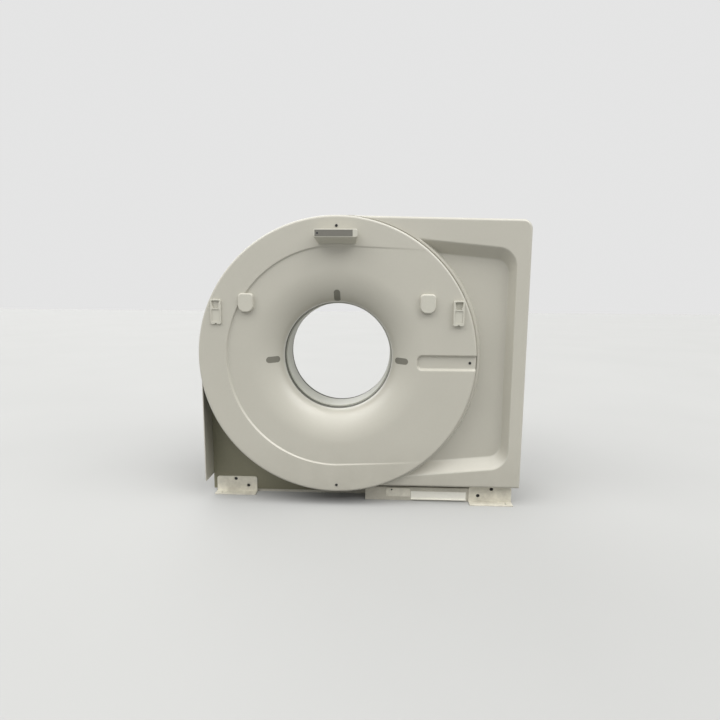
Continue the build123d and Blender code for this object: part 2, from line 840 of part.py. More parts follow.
def recess_outline(depth, inset):
    """The bowl's outline at a depth below the wing's face, drawn out by the wall."""

    def grow(width):
        return inset * hypot(1, width / recess_depth) - depth * width / recess_depth

    rise = grow(bevel_width) * hypot(1, recess_slope)
    left, right = 0, recess_right + grow(side_bevel)
    near, end = ((x - recess_line_x) * recess_slope for x in (left, right))
    with BuildSketch(mode=Mode.PRIVATE) as outline:
        with BuildLine():
            Polyline(
                (left, recess_foot + near - rise),
                (right, recess_foot + end - rise),
                (right, recess_top - end + rise),
                (left, recess_top - near + rise),
                close=True,
            )
        make_face()
        fillet(outline.vertices().group_by(Axis.X)[-1], recess_corner + grow(side_bevel))
    return outline.sketch


def wing_form(inset, rear):
    """The wing's front shape drawn in by inset, as a solid that ends at rear."""
    front = wing_y + inset
    slope = bevel_width / recess_depth
    crest = collar_crest - inset * hypot(1, slope)
    above, floor = -cover_wall, recess_depth + inset
    with BuildPart() as form:
        with BuildSketch(facing(rear)):
            add(body_outline(inset, body_bottom + inset))
        extrude(amount=rear - front)
        fillet(form.faces().sort_by(Axis.Y)[0].edges(), body_edge - inset)
        with BuildSketch(facing(rear)):
            with Locations((wing_left + inset - iso_height, 0)):
                Rectangle(2 * iso_height, 3 * iso_height)
            with Locations((wing_foot_left + inset - iso_height, -iso_height)):
                Rectangle(2 * iso_height, 2 * iso_height)
            Circle(disc_radius + collar_gap + inset)
        extrude(amount=rear - wing_y + cover_wall, mode=Mode.SUBTRACT)
        with BuildPart(mode=Mode.SUBTRACT):
            for depth in (floor, above):
                with BuildSketch(facing(wing_y + depth)):
                    add(recess_outline(depth, inset))
            loft(ruled=True)
            for depth in (floor, above):
                with BuildSketch(facing(wing_y + depth)):
                    Circle(crest + depth * slope)
            loft(ruled=True, mode=Mode.SUBTRACT)
    return form.part


with BuildPart() as wing_front_cover:
    add(wing_form(0, wing_back_y))
    add(wing_form(cover_wall, 0), mode=Mode.SUBTRACT)
wing_front_cover.part.label = "wing_front_cover"
export_step(wing_front_cover.part, "parts/wing_front_cover.step")

with BuildPart() as lower_front_panel:
    panel_back = base_front_left
    with BuildSketch(facing(panel_back)):
        with Locations(((panel_left + wing_left) / 2, (panel_top + floor_level + panel_foot) / 2)):
            Rectangle(wing_left - panel_left, panel_top - floor_level - panel_foot)
        Circle(rotor_radius + panel_gap, mode=Mode.SUBTRACT)
        with Locations(screw_places[1]):
            Circle(post_radius + panel_groove, mode=Mode.SUBTRACT)
    extrude(amount=panel_thickness)
    with BuildSketch(facing(panel_back - panel_thickness)):
        with Locations(*[(panel_left + x, panel_top) for x in panel_grooves]):
            Rectangle(panel_groove, 2 * iso_height)
    extrude(amount=-panel_groove, mode=Mode.SUBTRACT)
lower_front_panel.part.label = "lower_front_panel"
export_step(lower_front_panel.part, "parts/lower_front_panel.step")

# Rear cover, with its own funnel, and the vent with two fans behind it


def rear_form(inset, front):
    """The rear cover's box drawn in by inset, as a solid that starts at front."""
    with BuildPart() as form:
        with BuildSketch(facing(front)):
            add(body_outline(inset, body_bottom + inset))
        extrude(amount=front - rear_reach + inset)
        fillet(form.faces().sort_by(Axis.Y)[-1].edges(), body_edge - inset)
    return form.part


with BuildPart() as rear_cover:
    add(rear_form(0, rear_edge_y))
    add(rear_form(cover_wall, rear_edge_y - cover_wall), mode=Mode.SUBTRACT)
    with BuildSketch(facing(rear_reach)):
        Circle(rear_funnel_radius)
    extrude(amount=rear_depth, mode=Mode.SUBTRACT)
    with BuildSketch(meridian):
        with BuildLine():
            for wall in (0, disc_wall):
                Bezier(
                    (lip_radius + wall, -land_y),
                    (rear_funnel_pull + wall, rear_reach - wall),
                    (rear_funnel_radius + disc_wall / 2, rear_reach - wall),
                )
                Line((lip_radius + wall, -land_y), (lip_radius + wall, -lip_y))
            Line((lip_radius, -lip_y), (lip_radius + disc_wall, -lip_y))
            Line(
                (rear_funnel_radius + disc_wall / 2, rear_reach),
                (rear_funnel_radius + disc_wall / 2, rear_reach - disc_wall),
            )
        make_face()
    revolve(axis=bore_axis)
    with BuildSketch(facing(rear_reach)):
        with Locations((grille_x, grille_z)):
            Rectangle(grille_width, grille_height)
    extrude(amount=grille_plate, mode=Mode.SUBTRACT)
    with BuildSketch(facing(rear_reach)):
        for side in (-1, 1):
            with Locations((grille_x, grille_z + side * fan_offset)):
                Circle(fan_size / 2 - fan_wall)
    extrude(amount=2 * cover_wall, mode=Mode.SUBTRACT)
rear_cover.part.label = "rear_cover"
export_step(rear_cover.part, "parts/rear_cover.step")

slot_count = int((grille_height - 2 * grille_margin) / grille_pitch)
with BuildPart() as rear_vent_grille:
    with BuildSketch(facing(rear_reach)):
        with Locations((grille_x, grille_z)):
            Rectangle(grille_width - 2 * seam, grille_height - 2 * seam)
            with GridLocations(0, grille_pitch, 1, slot_count):
                SlotOverall(
                    grille_width - 2 * grille_margin, grille_slot, mode=Mode.SUBTRACT
                )
    extrude(amount=grille_plate)
rear_vent_grille.part.label = "rear_vent_grille"
export_step(rear_vent_grille.part, "parts/rear_vent_grille.step")

fan_rear = rear_reach - cover_wall
fan_duct = fan_size / 2 - fan_wall
blade_reach = fan_duct - fan_tip_gap


def fan_frame(z):
    """Square frame round a duct, with a hub and its pin on four arms."""
    with BuildPart() as frame:
        with BuildSketch(facing(fan_rear)):
            with Locations((grille_x, z)):
                RectangleRounded(fan_size, fan_size, fan_corner)
                Circle(fan_duct, mode=Mode.SUBTRACT)
        extrude(amount=fan_depth)
        with BuildSketch(facing(fan_rear)):
            with Locations((grille_x, z)):
                Circle(fan_hub_radius)
                for turn in (45, 135):
                    Rectangle(2 * fan_duct + fan_wall, fan_arm, rotation=turn)
        extrude(amount=fan_arm)
        with BuildSketch(facing(fan_rear)):
            with Locations((grille_x, z)):
                Circle(fan_pin_radius)
        extrude(amount=fan_depth - fan_arm / 2)
    return frame.part


def fan_rotor(z):
    """Hub with twisted blades, running on the frame's pin."""
    rear = fan_rear - fan_arm - fan_end_gap
    front = fan_rear - fan_depth
    middle = (rear + front) / 2
    with BuildPart() as rotor:
        with BuildSketch(facing(rear)):
            with Locations((grille_x, z)):
                Circle(fan_hub_radius)
        extrude(amount=rear - front)
        fillet(rotor.faces().sort_by(Axis.Y)[0].edges(), fan_arm / 2)
        for blade in range(fan_blades):
            turn = radians(360 / fan_blades * blade)
            for reach, pitch, mode in ((0.8 * fan_hub_radius, blade_root, 1), (blade_reach, blade_tip, 0)):
                origin = (grille_x + reach * cos(turn), middle, iso_height + z + reach * sin(turn))
                across = (-sin(turn), 0, cos(turn))
                with BuildSketch(Plane(origin, x_dir=across, z_dir=(cos(turn), 0, sin(turn)))):
                    Rectangle(blade_chord, blade_thick, rotation=pitch)
            loft(ruled=True)
        with BuildSketch(facing(rear)):
            with Locations((grille_x, z)):
                Circle(fan_pin_radius + shaft_play)
        extrude(amount=rear - front, mode=Mode.SUBTRACT)
    return rotor.part


with BuildPart() as upper_fan_frame:
    add(fan_frame(grille_z + fan_offset))
upper_fan_frame.part.label = "upper_fan_frame"
export_step(upper_fan_frame.part, "parts/upper_fan_frame.step")

with BuildPart() as lower_fan_frame:
    add(fan_frame(grille_z - fan_offset))
lower_fan_frame.part.label = "lower_fan_frame"
export_step(lower_fan_frame.part, "parts/lower_fan_frame.step")

with BuildPart() as upper_fan_rotor:
    add(fan_rotor(grille_z + fan_offset))
upper_fan_rotor.part.label = "upper_fan_rotor"
export_step(upper_fan_rotor.part, "parts/upper_fan_rotor.step")

with BuildPart() as lower_fan_rotor:
    add(fan_rotor(grille_z - fan_offset))
lower_fan_rotor.part.label = "lower_fan_rotor"
export_step(lower_fan_rotor.part, "parts/lower_fan_rotor.step")

# Floor frame, its brackets and the plates on its front


def rail(left, right, front, rear):
    """Plan of one rail between two x and two depths."""
    with Locations(((left + right) / 2, (front + rear) / 2)):
        Rectangle(right - left, rear - front)


with BuildPart() as base_frame:
    with BuildSketch(Plane.XY):
        rail(base_left, base_left + rail_width, base_front_left, base_rear)
        rail(base_right - rail_width, base_right, base_front_right, base_rear)
        rail(base_step_x, base_step_x + rail_width, base_front_right, base_rear)
        rail(base_step_x, base_right, base_front_right, base_front_right + rail_width)
        rail(base_left, base_right, base_front_left, rail_width / 2)
        rail(base_left, base_right, stator_front, stator_front + rail_width)
        rail(base_left, base_right, base_rear - rail_width, base_rear)
    extrude(amount=base_height)
    chamfer(base_frame.faces().sort_by(Axis.Z)[-1].edges(), base_chamfer)
base_frame.part.label = "base_frame"
export_step(base_frame.part, "parts/base_frame.step")


def bracket(side, seat, way):
    """Angle bracket at the left for side -1 or the right for 1, seated at a depth and facing way."""
    middle = base_middle + side * (bracket_outer + bracket_inner) / 2
    width = bracket_outer - bracket_inner
    with BuildPart() as angle:
        with BuildSketch(facing(seat)) as plate:
            with Locations((middle, floor_level + bracket_height / 2)):
                Rectangle(width, bracket_height)
            fillet(plate.vertices().group_by(Axis.Y)[-1], bracket_corner)
        extrude(amount=-way * bracket_plate)
        with BuildSketch(Plane.XY):
            with Locations((middle, seat + way * (bracket_plate + bracket_flange) / 2)):
                Rectangle(width, bracket_plate + bracket_flange)
            with Locations(
                (base_middle + side * anchor_out, seat + way * (bracket_plate + anchor_reach))
            ):
                Circle(anchor_radius, mode=Mode.SUBTRACT)
        extrude(amount=bracket_plate)
        with BuildSketch(facing(seat)):
            for out, up in plate_holes:
                with Locations((base_middle + side * out, floor_level + up)):
                    Circle(plate_hole_radius)
        extrude(amount=2 * bracket_plate, both=True, mode=Mode.SUBTRACT)
    return angle.part


with BuildPart() as front_left_bracket:
    add(bracket(-1, base_front_left - panel_thickness, -1))
front_left_bracket.part.label = "front_left_bracket"
export_step(front_left_bracket.part, "parts/front_left_bracket.step")

with BuildPart() as front_right_bracket:
    add(bracket(1, base_front_right, -1))
front_right_bracket.part.label = "front_right_bracket"
export_step(front_right_bracket.part, "parts/front_right_bracket.step")

with BuildPart() as rear_left_bracket:
    add(bracket(-1, base_rear, 1))
rear_left_bracket.part.label = "rear_left_bracket"
export_step(rear_left_bracket.part, "parts/rear_left_bracket.step")

with BuildPart() as rear_right_bracket:
    add(bracket(1, base_rear, 1))
rear_right_bracket.part.label = "rear_right_bracket"
export_step(rear_right_bracket.part, "parts/rear_right_bracket.step")

with BuildPart() as sill_plate:
    with BuildSketch(Plane.YZ.offset(sill_left)):
        with BuildLine():
            Polyline(
                (base_front_right, sill_foot),
                (base_front_right, sill_foot + sill_height),
                (base_front_right - sill_sheet, sill_foot + sill_height),
                (base_front_right - sill_sheet, sill_foot + sill_sheet),
                (base_front_right - sill_lip, sill_foot + sill_sheet),
                (base_front_right - sill_lip, sill_foot),
                close=True,
            )
        make_face()
    extrude(amount=sill_right - sill_left)
sill_plate.part.label = "sill_plate"
export_step(sill_plate.part, "parts/sill_plate.step")

with BuildPart() as middle_guard_plate:
    with BuildSketch(facing(base_front_right)) as guard:
        with Locations(
            ((guard_left + guard_right) / 2, floor_level + guard_foot + guard_height / 2)
        ):
            Rectangle(guard_right - guard_left, guard_height)
        fillet(guard.vertices().group_by(Axis.Y)[-1], bracket_corner)
        with Locations((guard_hole_x, floor_level + guard_foot + guard_height - guard_hole_drop)):
            Circle(guard_hole_radius, mode=Mode.SUBTRACT)
    extrude(amount=bracket_plate)
middle_guard_plate.part.label = "middle_guard_plate"
export_step(middle_guard_plate.part, "parts/middle_guard_plate.step")

# Rotor: drum, bearing, slip ring and the units it carries
rotor_rear = rotor_plate_front + rotor_plate
belt_y = rotor_rear - belt_groove - belt_width / 2 - belt_margin

with BuildPart() as rotor_drum:
    with BuildSketch(meridian):
        with BuildLine():
            Polyline(
                (rotor_bore, rotor_plate_front),
                (rotor_radius - rim_wall, rotor_plate_front),
                (rotor_radius - rim_wall, rim_front),
                (rotor_radius, rim_front),
                (rotor_radius, belt_y - belt_width / 2 - belt_margin),
                (rotor_radius - belt_groove, belt_y - belt_width / 2 - belt_margin),
                (rotor_radius - belt_groove, belt_y + belt_width / 2 + belt_margin),
                (rotor_radius, belt_y + belt_width / 2 + belt_margin),
                (rotor_radius, rotor_rear),
                (rotor_bore, rotor_rear),
                close=True,
            )
        make_face()
    revolve(axis=bore_axis)
    with BuildSketch(facing(rotor_rear)):
        with PolarLocations(rotor_pocket_circle, rotor_pockets, start_angle=rotor_pocket_turn):
            Circle(rotor_pocket_radius)
    extrude(amount=rotor_plate, mode=Mode.SUBTRACT)
rotor_drum.part.label = "rotor_drum"
export_step(rotor_drum.part, "parts/rotor_drum.step")

race_middle = rotor_rear + bearing_offset
race_diagonal = (roller_size + 2 * roller_play) * sqrt(2)


def race(inner, outer, front, rear):
    """Turned bearing ring with a square raceway cut at the rollers' circle."""
    with BuildPart() as ring:
        with BuildSketch(meridian):
            with Locations(((inner + outer) / 2, (front + rear) / 2)):
                Rectangle(outer - inner, rear - front)
            with Locations((bearing_radius, race_middle)):
                RegularPolygon(race_diagonal / 2, 4, mode=Mode.SUBTRACT)
        revolve(axis=bore_axis)
    return ring.part


with BuildPart() as bearing_inner_race:
    add(
        race(
            inner_race_radius, bearing_radius - race_gap / 2, rotor_rear, rotor_rear + race_length
        )
    )
bearing_inner_race.part.label = "bearing_inner_race"
export_step(bearing_inner_race.part, "parts/bearing_inner_race.step")

with BuildPart() as bearing_outer_race:
    add(
        race(
            bearing_radius + race_gap / 2,
            outer_race_radius,
            stator_front - race_length,
            stator_front,
        )
    )
bearing_outer_race.part.label = "bearing_outer_race"
export_step(bearing_outer_race.part, "parts/bearing_outer_race.step")

with BuildPart() as bearing_rollers:
    for count in range(roller_count):
        turn = radians(360 / roller_count * count)
        lean = 1 if count % 2 else -1
        centre = (
            bearing_radius * cos(turn),
            race_middle,
            iso_height + bearing_radius * sin(turn),
        )
        along = (lean * cos(turn), 1, lean * sin(turn))
        with BuildSketch(Plane(centre, x_dir=(-sin(turn), 0, cos(turn)), z_dir=along)):
            Circle(roller_size / 2)
        extrude(amount=roller_size / 2, both=True)
bearing_rollers.part.label = "bearing_rollers"
export_step(bearing_rollers.part, "parts/bearing_rollers.step")

with BuildPart() as slip_ring:
    with BuildSketch(meridian):
        with BuildLine():
            Polyline(
                (slip_inner, rotor_rear),
                (slip_foot, rotor_rear),
                (slip_foot, rotor_rear + slip_wall / 2),
                (slip_inner + slip_wall, rotor_rear + slip_wall / 2),
                (slip_inner + slip_wall, slip_front),
                (slip_outer, slip_front),
                (slip_outer, slip_rear),
                (slip_inner, slip_rear),
                close=True,
            )
        make_face()
        with Locations(*[(slip_outer, y) for y in slip_levels]):
            Rectangle(2 * slip_groove, slip_track, mode=Mode.SUBTRACT)
    revolve(axis=bore_axis)
slip_ring.part.label = "slip_ring"
export_step(slip_ring.part, "parts/slip_ring.step")

with BuildPart() as xray_tube_housing:
    with BuildSketch(facing(rotor_plate_front)):
        with Locations((0, tube_circle)):
            Circle(tube_radius)
    extrude(amount=rotor_plate_front - tube_front)
    for level in (tube_front + tube_band, rotor_plate_front):
        with BuildSketch(facing(level)):
            with Locations((0, tube_circle)):
                Circle(tube_radius + tube_collar)
        extrude(amount=tube_band)
    fillet(xray_tube_housing.faces().sort_by(Axis.Y)[0].edges(), tube_collar)
    for side in (-1, 1):
        with BuildSketch(around(90, tube_circle, tube_front)):
            with Locations((side * tube_radius / 2, 0)):
                Circle(tube_socket)
        extrude(amount=tube_band)
xray_tube_housing.part.label = "xray_tube_housing"
export_step(xray_tube_housing.part, "parts/xray_tube_housing.step")

with BuildPart() as tube_collimator:
    with BuildSketch(facing(rotor_plate_front)):
        with BuildLine():
            Polyline(
                (-collimator_width / 2, collimator_low),
                (collimator_width / 2, collimator_low),
                (collimator_top_width / 2, collimator_high),
                (-collimator_top_width / 2, collimator_high),
                close=True,
            )
        make_face()
    extrude(amount=rotor_plate_front - collimator_front)
    with BuildSketch(Plane.XY.offset(iso_height + collimator_low)):
        Rectangle(collimator_slit, 2 * beam_half)
    extrude(amount=collimator_high - collimator_low, mode=Mode.SUBTRACT)
tube_collimator.part.label = "tube_collimator"
export_step(tube_collimator.part, "parts/tube_collimator.step")


def unit(angle, size, fins, margin):
    """Box-shaped unit seated on the rotor's plate, with cooling fins between its front's margins."""
    width, height, depth = size
    pitch = (width - 2 * margin) / fins
    front = rotor_plate_front - depth
    with BuildPart() as box:
        with BuildSketch(around(angle, unit_circle, rotor_plate_front)):
            RectangleRounded(width, height, unit_corner)
        extrude(amount=depth)
        fillet(box.faces().sort_by(Axis.Y)[0].edges(), unit_edge)
        with BuildSketch(around(angle, unit_circle, front)):
            with GridLocations(pitch, 0, fins, 1):
                Rectangle(pitch / 2, height - 2 * unit_corner)
        extrude(amount=-unit_fin, mode=Mode.SUBTRACT)
    return box.part


with BuildPart() as hv_tank:
    add(unit(hv_angle, hv_size, hv_fins, hv_margin))
    for side in (-1, 1):
        with BuildSketch(around(hv_angle, unit_circle, rotor_plate_front - hv_size[2])):
            with Locations((side * hv_size[0] / 4, hv_size[1] / 4)):
                Circle(tube_socket)
        extrude(amount=tube_band)
hv_tank.part.label = "hv_tank"
export_step(hv_tank.part, "parts/hv_tank.step")

with BuildPart() as inverter_unit:
    add(unit(inverter_angle, inverter_size, inverter_fins, inverter_margin))
inverter_unit.part.label = "inverter_unit"
export_step(inverter_unit.part, "parts/inverter_unit.step")

with BuildPart() as tube_cooler:
    add(unit(cooler_angle, cooler_size, cooler_fins, cooler_margin))
tube_cooler.part.label = "tube_cooler"
export_step(tube_cooler.part, "parts/tube_cooler.step")

with BuildPart() as control_unit:
    add(unit(control_angle, control_size, control_fins, control_margin))
control_unit.part.label = "control_unit"
export_step(control_unit.part, "parts/control_unit.step")


def detector_sector(inner, outer, half_angle):
    """Sector between two radii about the focus, hanging under it."""
    with BuildSketch(mode=Mode.PRIVATE) as sector:
        with BuildLine():
            for radius in (inner, outer):
                CenterArc((0, focus_height), radius, 270 - half_angle, 2 * half_angle)
            for end in (radians(270 - half_angle), radians(270 + half_angle)):
                Line(
                    (inner * cos(end), focus_height + inner * sin(end)),
                    (outer * cos(end), focus_height + outer * sin(end)),
                )
        make_face()
    return sector.sketch


with BuildPart() as detector_arc:
    with BuildSketch(facing(rotor_plate_front)):
        add(detector_sector(detector_radius, detector_radius + detector_thick, detector_half_angle))
    extrude(amount=rotor_plate_front - detector_front)
    with BuildSketch(facing(detector_front)):
        add(
            detector_sector(
                detector_radius + detector_wall,
                detector_radius + detector_thick - detector_wall,
                detector_half_angle - 1,
            )
        )
    extrude(amount=-detector_wall / 2, mode=Mode.SUBTRACT)
detector_arc.part.label = "detector_arc"
export_step(detector_arc.part, "parts/detector_arc.step")

module_step = 2 * detector_half_angle / detector_modules
module_wide = 2 * detector_radius * tan(radians(module_step / 2)) - module_gap
with BuildPart() as detector_module_row:
    for count in range(detector_modules):
        turn = radians(270 - detector_half_angle + module_step * (count + 0.5))
        reach = detector_radius - seat_gap
        origin = (reach * cos(turn), 0, iso_height + focus_height + reach * sin(turn))
        with BuildSketch(Plane(origin, x_dir=(0, 1, 0), z_dir=(-cos(turn), 0, -sin(turn)))):
            Rectangle(2 * beam_half, module_wide)
        extrude(amount=module_depth)
detector_module_row.part.label = "detector_modules"
export_step(detector_module_row.part, "parts/detector_modules.step")

# Stator, brushes and the belt drive
plate_rear = stator_front + stator_plate

with BuildPart() as stator_frame:
    with BuildSketch(facing(stator_front)):
        Circle(stator_radius)
        with Locations((0, (stator_shoulder + base_top) / 2)):
            Rectangle(2 * stator_half_width, stator_shoulder - base_top)
        for x, z in screw_places:
            reach = hypot(x, z) - stator_radius
            with PolarLocations(stator_radius, 1, start_angle=degrees(atan2(z, x))):
                SlotCenterToCenter(2 * reach, 2 * stator_ear)
        Circle(stator_bore, mode=Mode.SUBTRACT)
        with Locations((motor_x, motor_z)):
            Circle(shaft_radius + shaft_hole_gap, mode=Mode.SUBTRACT)
    extrude(amount=-stator_plate)
    for side in (-1, 1):
        with BuildSketch(Plane.YZ.offset(side * rib_x)):
            with BuildLine():
                Polyline(
                    (plate_rear, iso_height + stator_shoulder),
                    (plate_rear, base_height),
                    (plate_rear + rib_depth, base_height),
                    (plate_rear + rib_depth, 2 * base_height),
                    close=True,
                )
            make_face()
        extrude(amount=side * rib_thick)
stator_frame.part.label = "stator_frame"
export_step(stator_frame.part, "parts/stator_frame.step")

with BuildPart() as brush_block:
    block_foot = slip_outer + brush_clear
    with BuildSketch(around(brush_angle, (brush_reach + block_foot) / 2, plate_rear)):
        RectangleRounded(brush_width, brush_reach - block_foot, slip_track)
    extrude(amount=plate_rear - slip_rear)
    tip = slip_outer - slip_groove + seat_gap
    for y in slip_levels:
        with BuildSketch(around(brush_angle, (tip + block_foot) / 2, y)):
            Rectangle(brush_width / 2, block_foot - tip + seat_gap)
        extrude(amount=slip_track / 3, both=True)
brush_block.part.label = "brush_block"
export_step(brush_block.part, "parts/brush_block.step")

with BuildPart() as drive_motor:
    with BuildSketch(facing(plate_rear)):
        with Locations((motor_x, motor_z)):
            RectangleRounded(2 * motor_radius, 2 * motor_radius, motor_corner)
    extrude(amount=-motor_flange)
    with BuildSketch(facing(plate_rear + motor_flange)):
        with Locations((motor_x, motor_z)):
            Circle(motor_radius)
            with PolarLocations(motor_radius, motor_fins):
                Rectangle(2 * motor_fin, motor_fin, mode=Mode.SUBTRACT)
    extrude(amount=-(motor_length - motor_flange))
    with BuildSketch(facing(plate_rear + motor_length)):
        with Locations((motor_x, motor_z)):
            Circle(motor_radius - 2 * motor_fin)
    extrude(amount=-motor_flange)
    with BuildSketch(facing(plate_rear)):
        with Locations((motor_x, motor_z)):
            Circle(shaft_radius + shaft_play)
    extrude(amount=-motor_bore, mode=Mode.SUBTRACT)
drive_motor.part.label = "drive_motor"
export_step(drive_motor.part, "parts/drive_motor.step")

with BuildPart() as motor_pulley:
    pulley_half = belt_width / 2 + belt_margin
    with BuildSketch(facing(belt_y)):
        with Locations((motor_x, motor_z)):
            Circle(pulley_radius + pulley_flange)
    extrude(amount=pulley_half + pulley_flange, both=True)
    with BuildSketch(facing(belt_y)):
        with Locations((motor_x, motor_z)):
            Circle(pulley_radius + 2 * pulley_flange)
            Circle(pulley_radius, mode=Mode.SUBTRACT)
    extrude(amount=pulley_half, both=True, mode=Mode.SUBTRACT)
    with BuildSketch(facing(belt_y)):
        with Locations((motor_x, motor_z)):
            with PolarLocations(pulley_hole_circle, pulley_holes):
                Circle(pulley_hole)
    extrude(amount=2 * pulley_half, both=True, mode=Mode.SUBTRACT)
    with BuildSketch(facing(belt_y)):
        with Locations((motor_x, motor_z)):
            Circle(shaft_radius)
    extrude(amount=-(plate_rear + motor_bore - shaft_end_gap - belt_y))
motor_pulley.part.label = "motor_pulley"
export_step(motor_pulley.part, "parts/motor_pulley.step")

with BuildPart() as drive_belt:
    for grow, mode in ((belt_thickness, Mode.ADD), (0, Mode.SUBTRACT)):
        with BuildSketch(facing(belt_y)):
            with BuildLine():
                CenterArc((0, 0), rotor_radius - belt_groove + seat_gap + grow, 0, 360)
                CenterArc((motor_x, motor_z), pulley_radius + seat_gap + grow, 0, 360)
            make_hull()
        extrude(amount=belt_width / 2, both=True, mode=mode)
drive_belt.part.label = "drive_belt"
export_step(drive_belt.part, "parts/drive_belt.step")

# Units in the wing

with BuildPart() as power_cabinet:
    with BuildSketch(facing(cabinet_front)):
        with Locations(((cabinet_left + cabinet_right) / 2, (cabinet_top + base_top) / 2)):
            Rectangle(cabinet_right - cabinet_left, cabinet_top - base_top)
    extrude(amount=cabinet_front - cabinet_rear)
    chamfer(power_cabinet.edges().filter_by(Axis.Z), unit_edge)
    with BuildSketch(facing(cabinet_front)):
        with Locations(((cabinet_left + cabinet_right) / 2, (cabinet_top + base_top) / 2)):
            with GridLocations(0, louvre_pitch, 1, louvres):
                SlotOverall(cabinet_right - cabinet_left - 2 * louvre_pitch, louvre_pitch / 2)
    extrude(amount=-cover_wall, mode=Mode.SUBTRACT)
power_cabinet.part.label = "power_cabinet"
export_step(power_cabinet.part, "parts/power_cabinet.step")

with BuildPart() as control_computer:
    with BuildSketch(facing(computer_front)):
        with Locations(((computer_left + cabinet_right) / 2, (cabinet_top + computer_top) / 2)):
            Rectangle(cabinet_right - computer_left, computer_top - cabinet_top)
    extrude(amount=computer_front - computer_rear)
    chamfer(control_computer.edges().filter_by(Axis.Z), unit_edge)
    with BuildSketch(facing(computer_front)):
        with Locations(((computer_left + cabinet_right) / 2, (cabinet_top + computer_top) / 2)):
            with GridLocations(computer_bay, 0, computer_bays, 1):
                Rectangle(computer_bay - cover_wall, computer_top - cabinet_top - computer_bay)
    extrude(amount=-cover_wall, mode=Mode.SUBTRACT)
control_computer.part.label = "control_computer"
export_step(control_computer.part, "parts/control_computer.step")
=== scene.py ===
"""Dresses a computed tomography gantry and sets it in a plain studio."""

import json
import logging
import math
from dataclasses import dataclass
from enum import Enum
from typing import Union

import bpy
import numpy as np
from mathutils import Matrix, Vector


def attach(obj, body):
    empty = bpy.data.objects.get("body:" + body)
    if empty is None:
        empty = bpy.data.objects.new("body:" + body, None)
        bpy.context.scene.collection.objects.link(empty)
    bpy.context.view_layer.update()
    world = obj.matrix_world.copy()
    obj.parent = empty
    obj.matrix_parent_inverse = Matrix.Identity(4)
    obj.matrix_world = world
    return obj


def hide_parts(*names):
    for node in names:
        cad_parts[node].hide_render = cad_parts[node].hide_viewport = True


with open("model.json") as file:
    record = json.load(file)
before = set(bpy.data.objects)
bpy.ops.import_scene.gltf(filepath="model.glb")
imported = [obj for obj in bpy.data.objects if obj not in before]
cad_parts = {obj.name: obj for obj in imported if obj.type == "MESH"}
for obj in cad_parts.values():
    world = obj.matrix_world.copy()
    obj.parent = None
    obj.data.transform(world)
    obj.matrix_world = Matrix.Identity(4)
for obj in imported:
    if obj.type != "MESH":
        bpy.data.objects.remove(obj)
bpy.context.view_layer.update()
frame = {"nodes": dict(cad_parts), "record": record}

LOG = logging.getLogger("gantry")
AXIS_HEIGHT = 1.0
QUARTER_TURN = math.pi / 2
SHARP_ANGLE = math.radians(32.0)
Triple = tuple[float, float, float]

# What shader maths works on, and what a node's socket can be fed with
Operand = Union["Value", bpy.types.NodeSocket, float]
Input = Union["Value", bpy.types.NodeSocket, Triple, float]


def srgb(red: int, green: int, blue: int) -> Triple:
    """Turns a screen colour from 0 to 255 into the linear colour that the shaders take.

    Args:
        red: red share on the screen.
        green: green share on the screen.
        blue: blue share on the screen.

    Returns:
        The same colour in linear values, by the screen's standard curve.
    """

    def linear(share: int) -> float:
        """Undoes the screen's curve for one share."""
        value = share / 255
        return value / 12.92 if value <= 0.04045 else ((value + 0.055) / 1.055) ** 2.4

    return linear(red), linear(green), linear(blue)


# Shader maths

# Places of a Mix node's colour sockets, which share their names with its other sockets
MIX_SHARE, MIX_FIRST, MIX_SECOND, MIX_COLOUR = 0, 6, 7, 2


class Value:
    """A socket that carries a number, on which Python's operators add Math nodes."""

    def __init__(self, tree: "Nodes", socket: bpy.types.NodeSocket) -> None:
        """Keeps the socket and the tree it belongs to."""
        self.tree = tree
        self.socket = socket

    def math(self, operation: str, first: Operand, second: Operand) -> "Value":
        """Adds one Math node.

        Args:
            operation: the node's operation.
            first: its first input.
            second: its second input.

        Returns:
            The node's output.
        """
        made = self.tree.node("ShaderNodeMath", {"operation": operation}, {0: first, 1: second})
        return Value(self.tree, made.outputs[0])

    def __add__(self, other: Operand) -> "Value":
        """Adds."""
        return self.math("ADD", self, other)

    def __radd__(self, other: Operand) -> "Value":
        """Adds to a plain number."""
        return self.math("ADD", other, self)

    def __sub__(self, other: Operand) -> "Value":
        """Subtracts."""
        return self.math("SUBTRACT", self, other)

    def __rsub__(self, other: Operand) -> "Value":
        """Subtracts from a plain number."""
        return self.math("SUBTRACT", other, self)

    def __mul__(self, other: Operand) -> "Value":
        """Multiplies."""
        return self.math("MULTIPLY", self, other)

    def __rmul__(self, other: Operand) -> "Value":
        """Multiplies a plain number."""
        return self.math("MULTIPLY", other, self)

    def span(self, low: float, high: float) -> "Value":
        """Maps low to 0 and high to 1, and holds both ends.

        Args:
            low: the value that becomes 0.
            high: the value that becomes 1.

        Returns:
            The mapped value.
        """
        inputs = {"Value": self, "From Min": low, "From Max": high}
        made = self.tree.node("ShaderNodeMapRange", {"clamp": True}, inputs)
        return Value(self.tree, made.outputs[0])


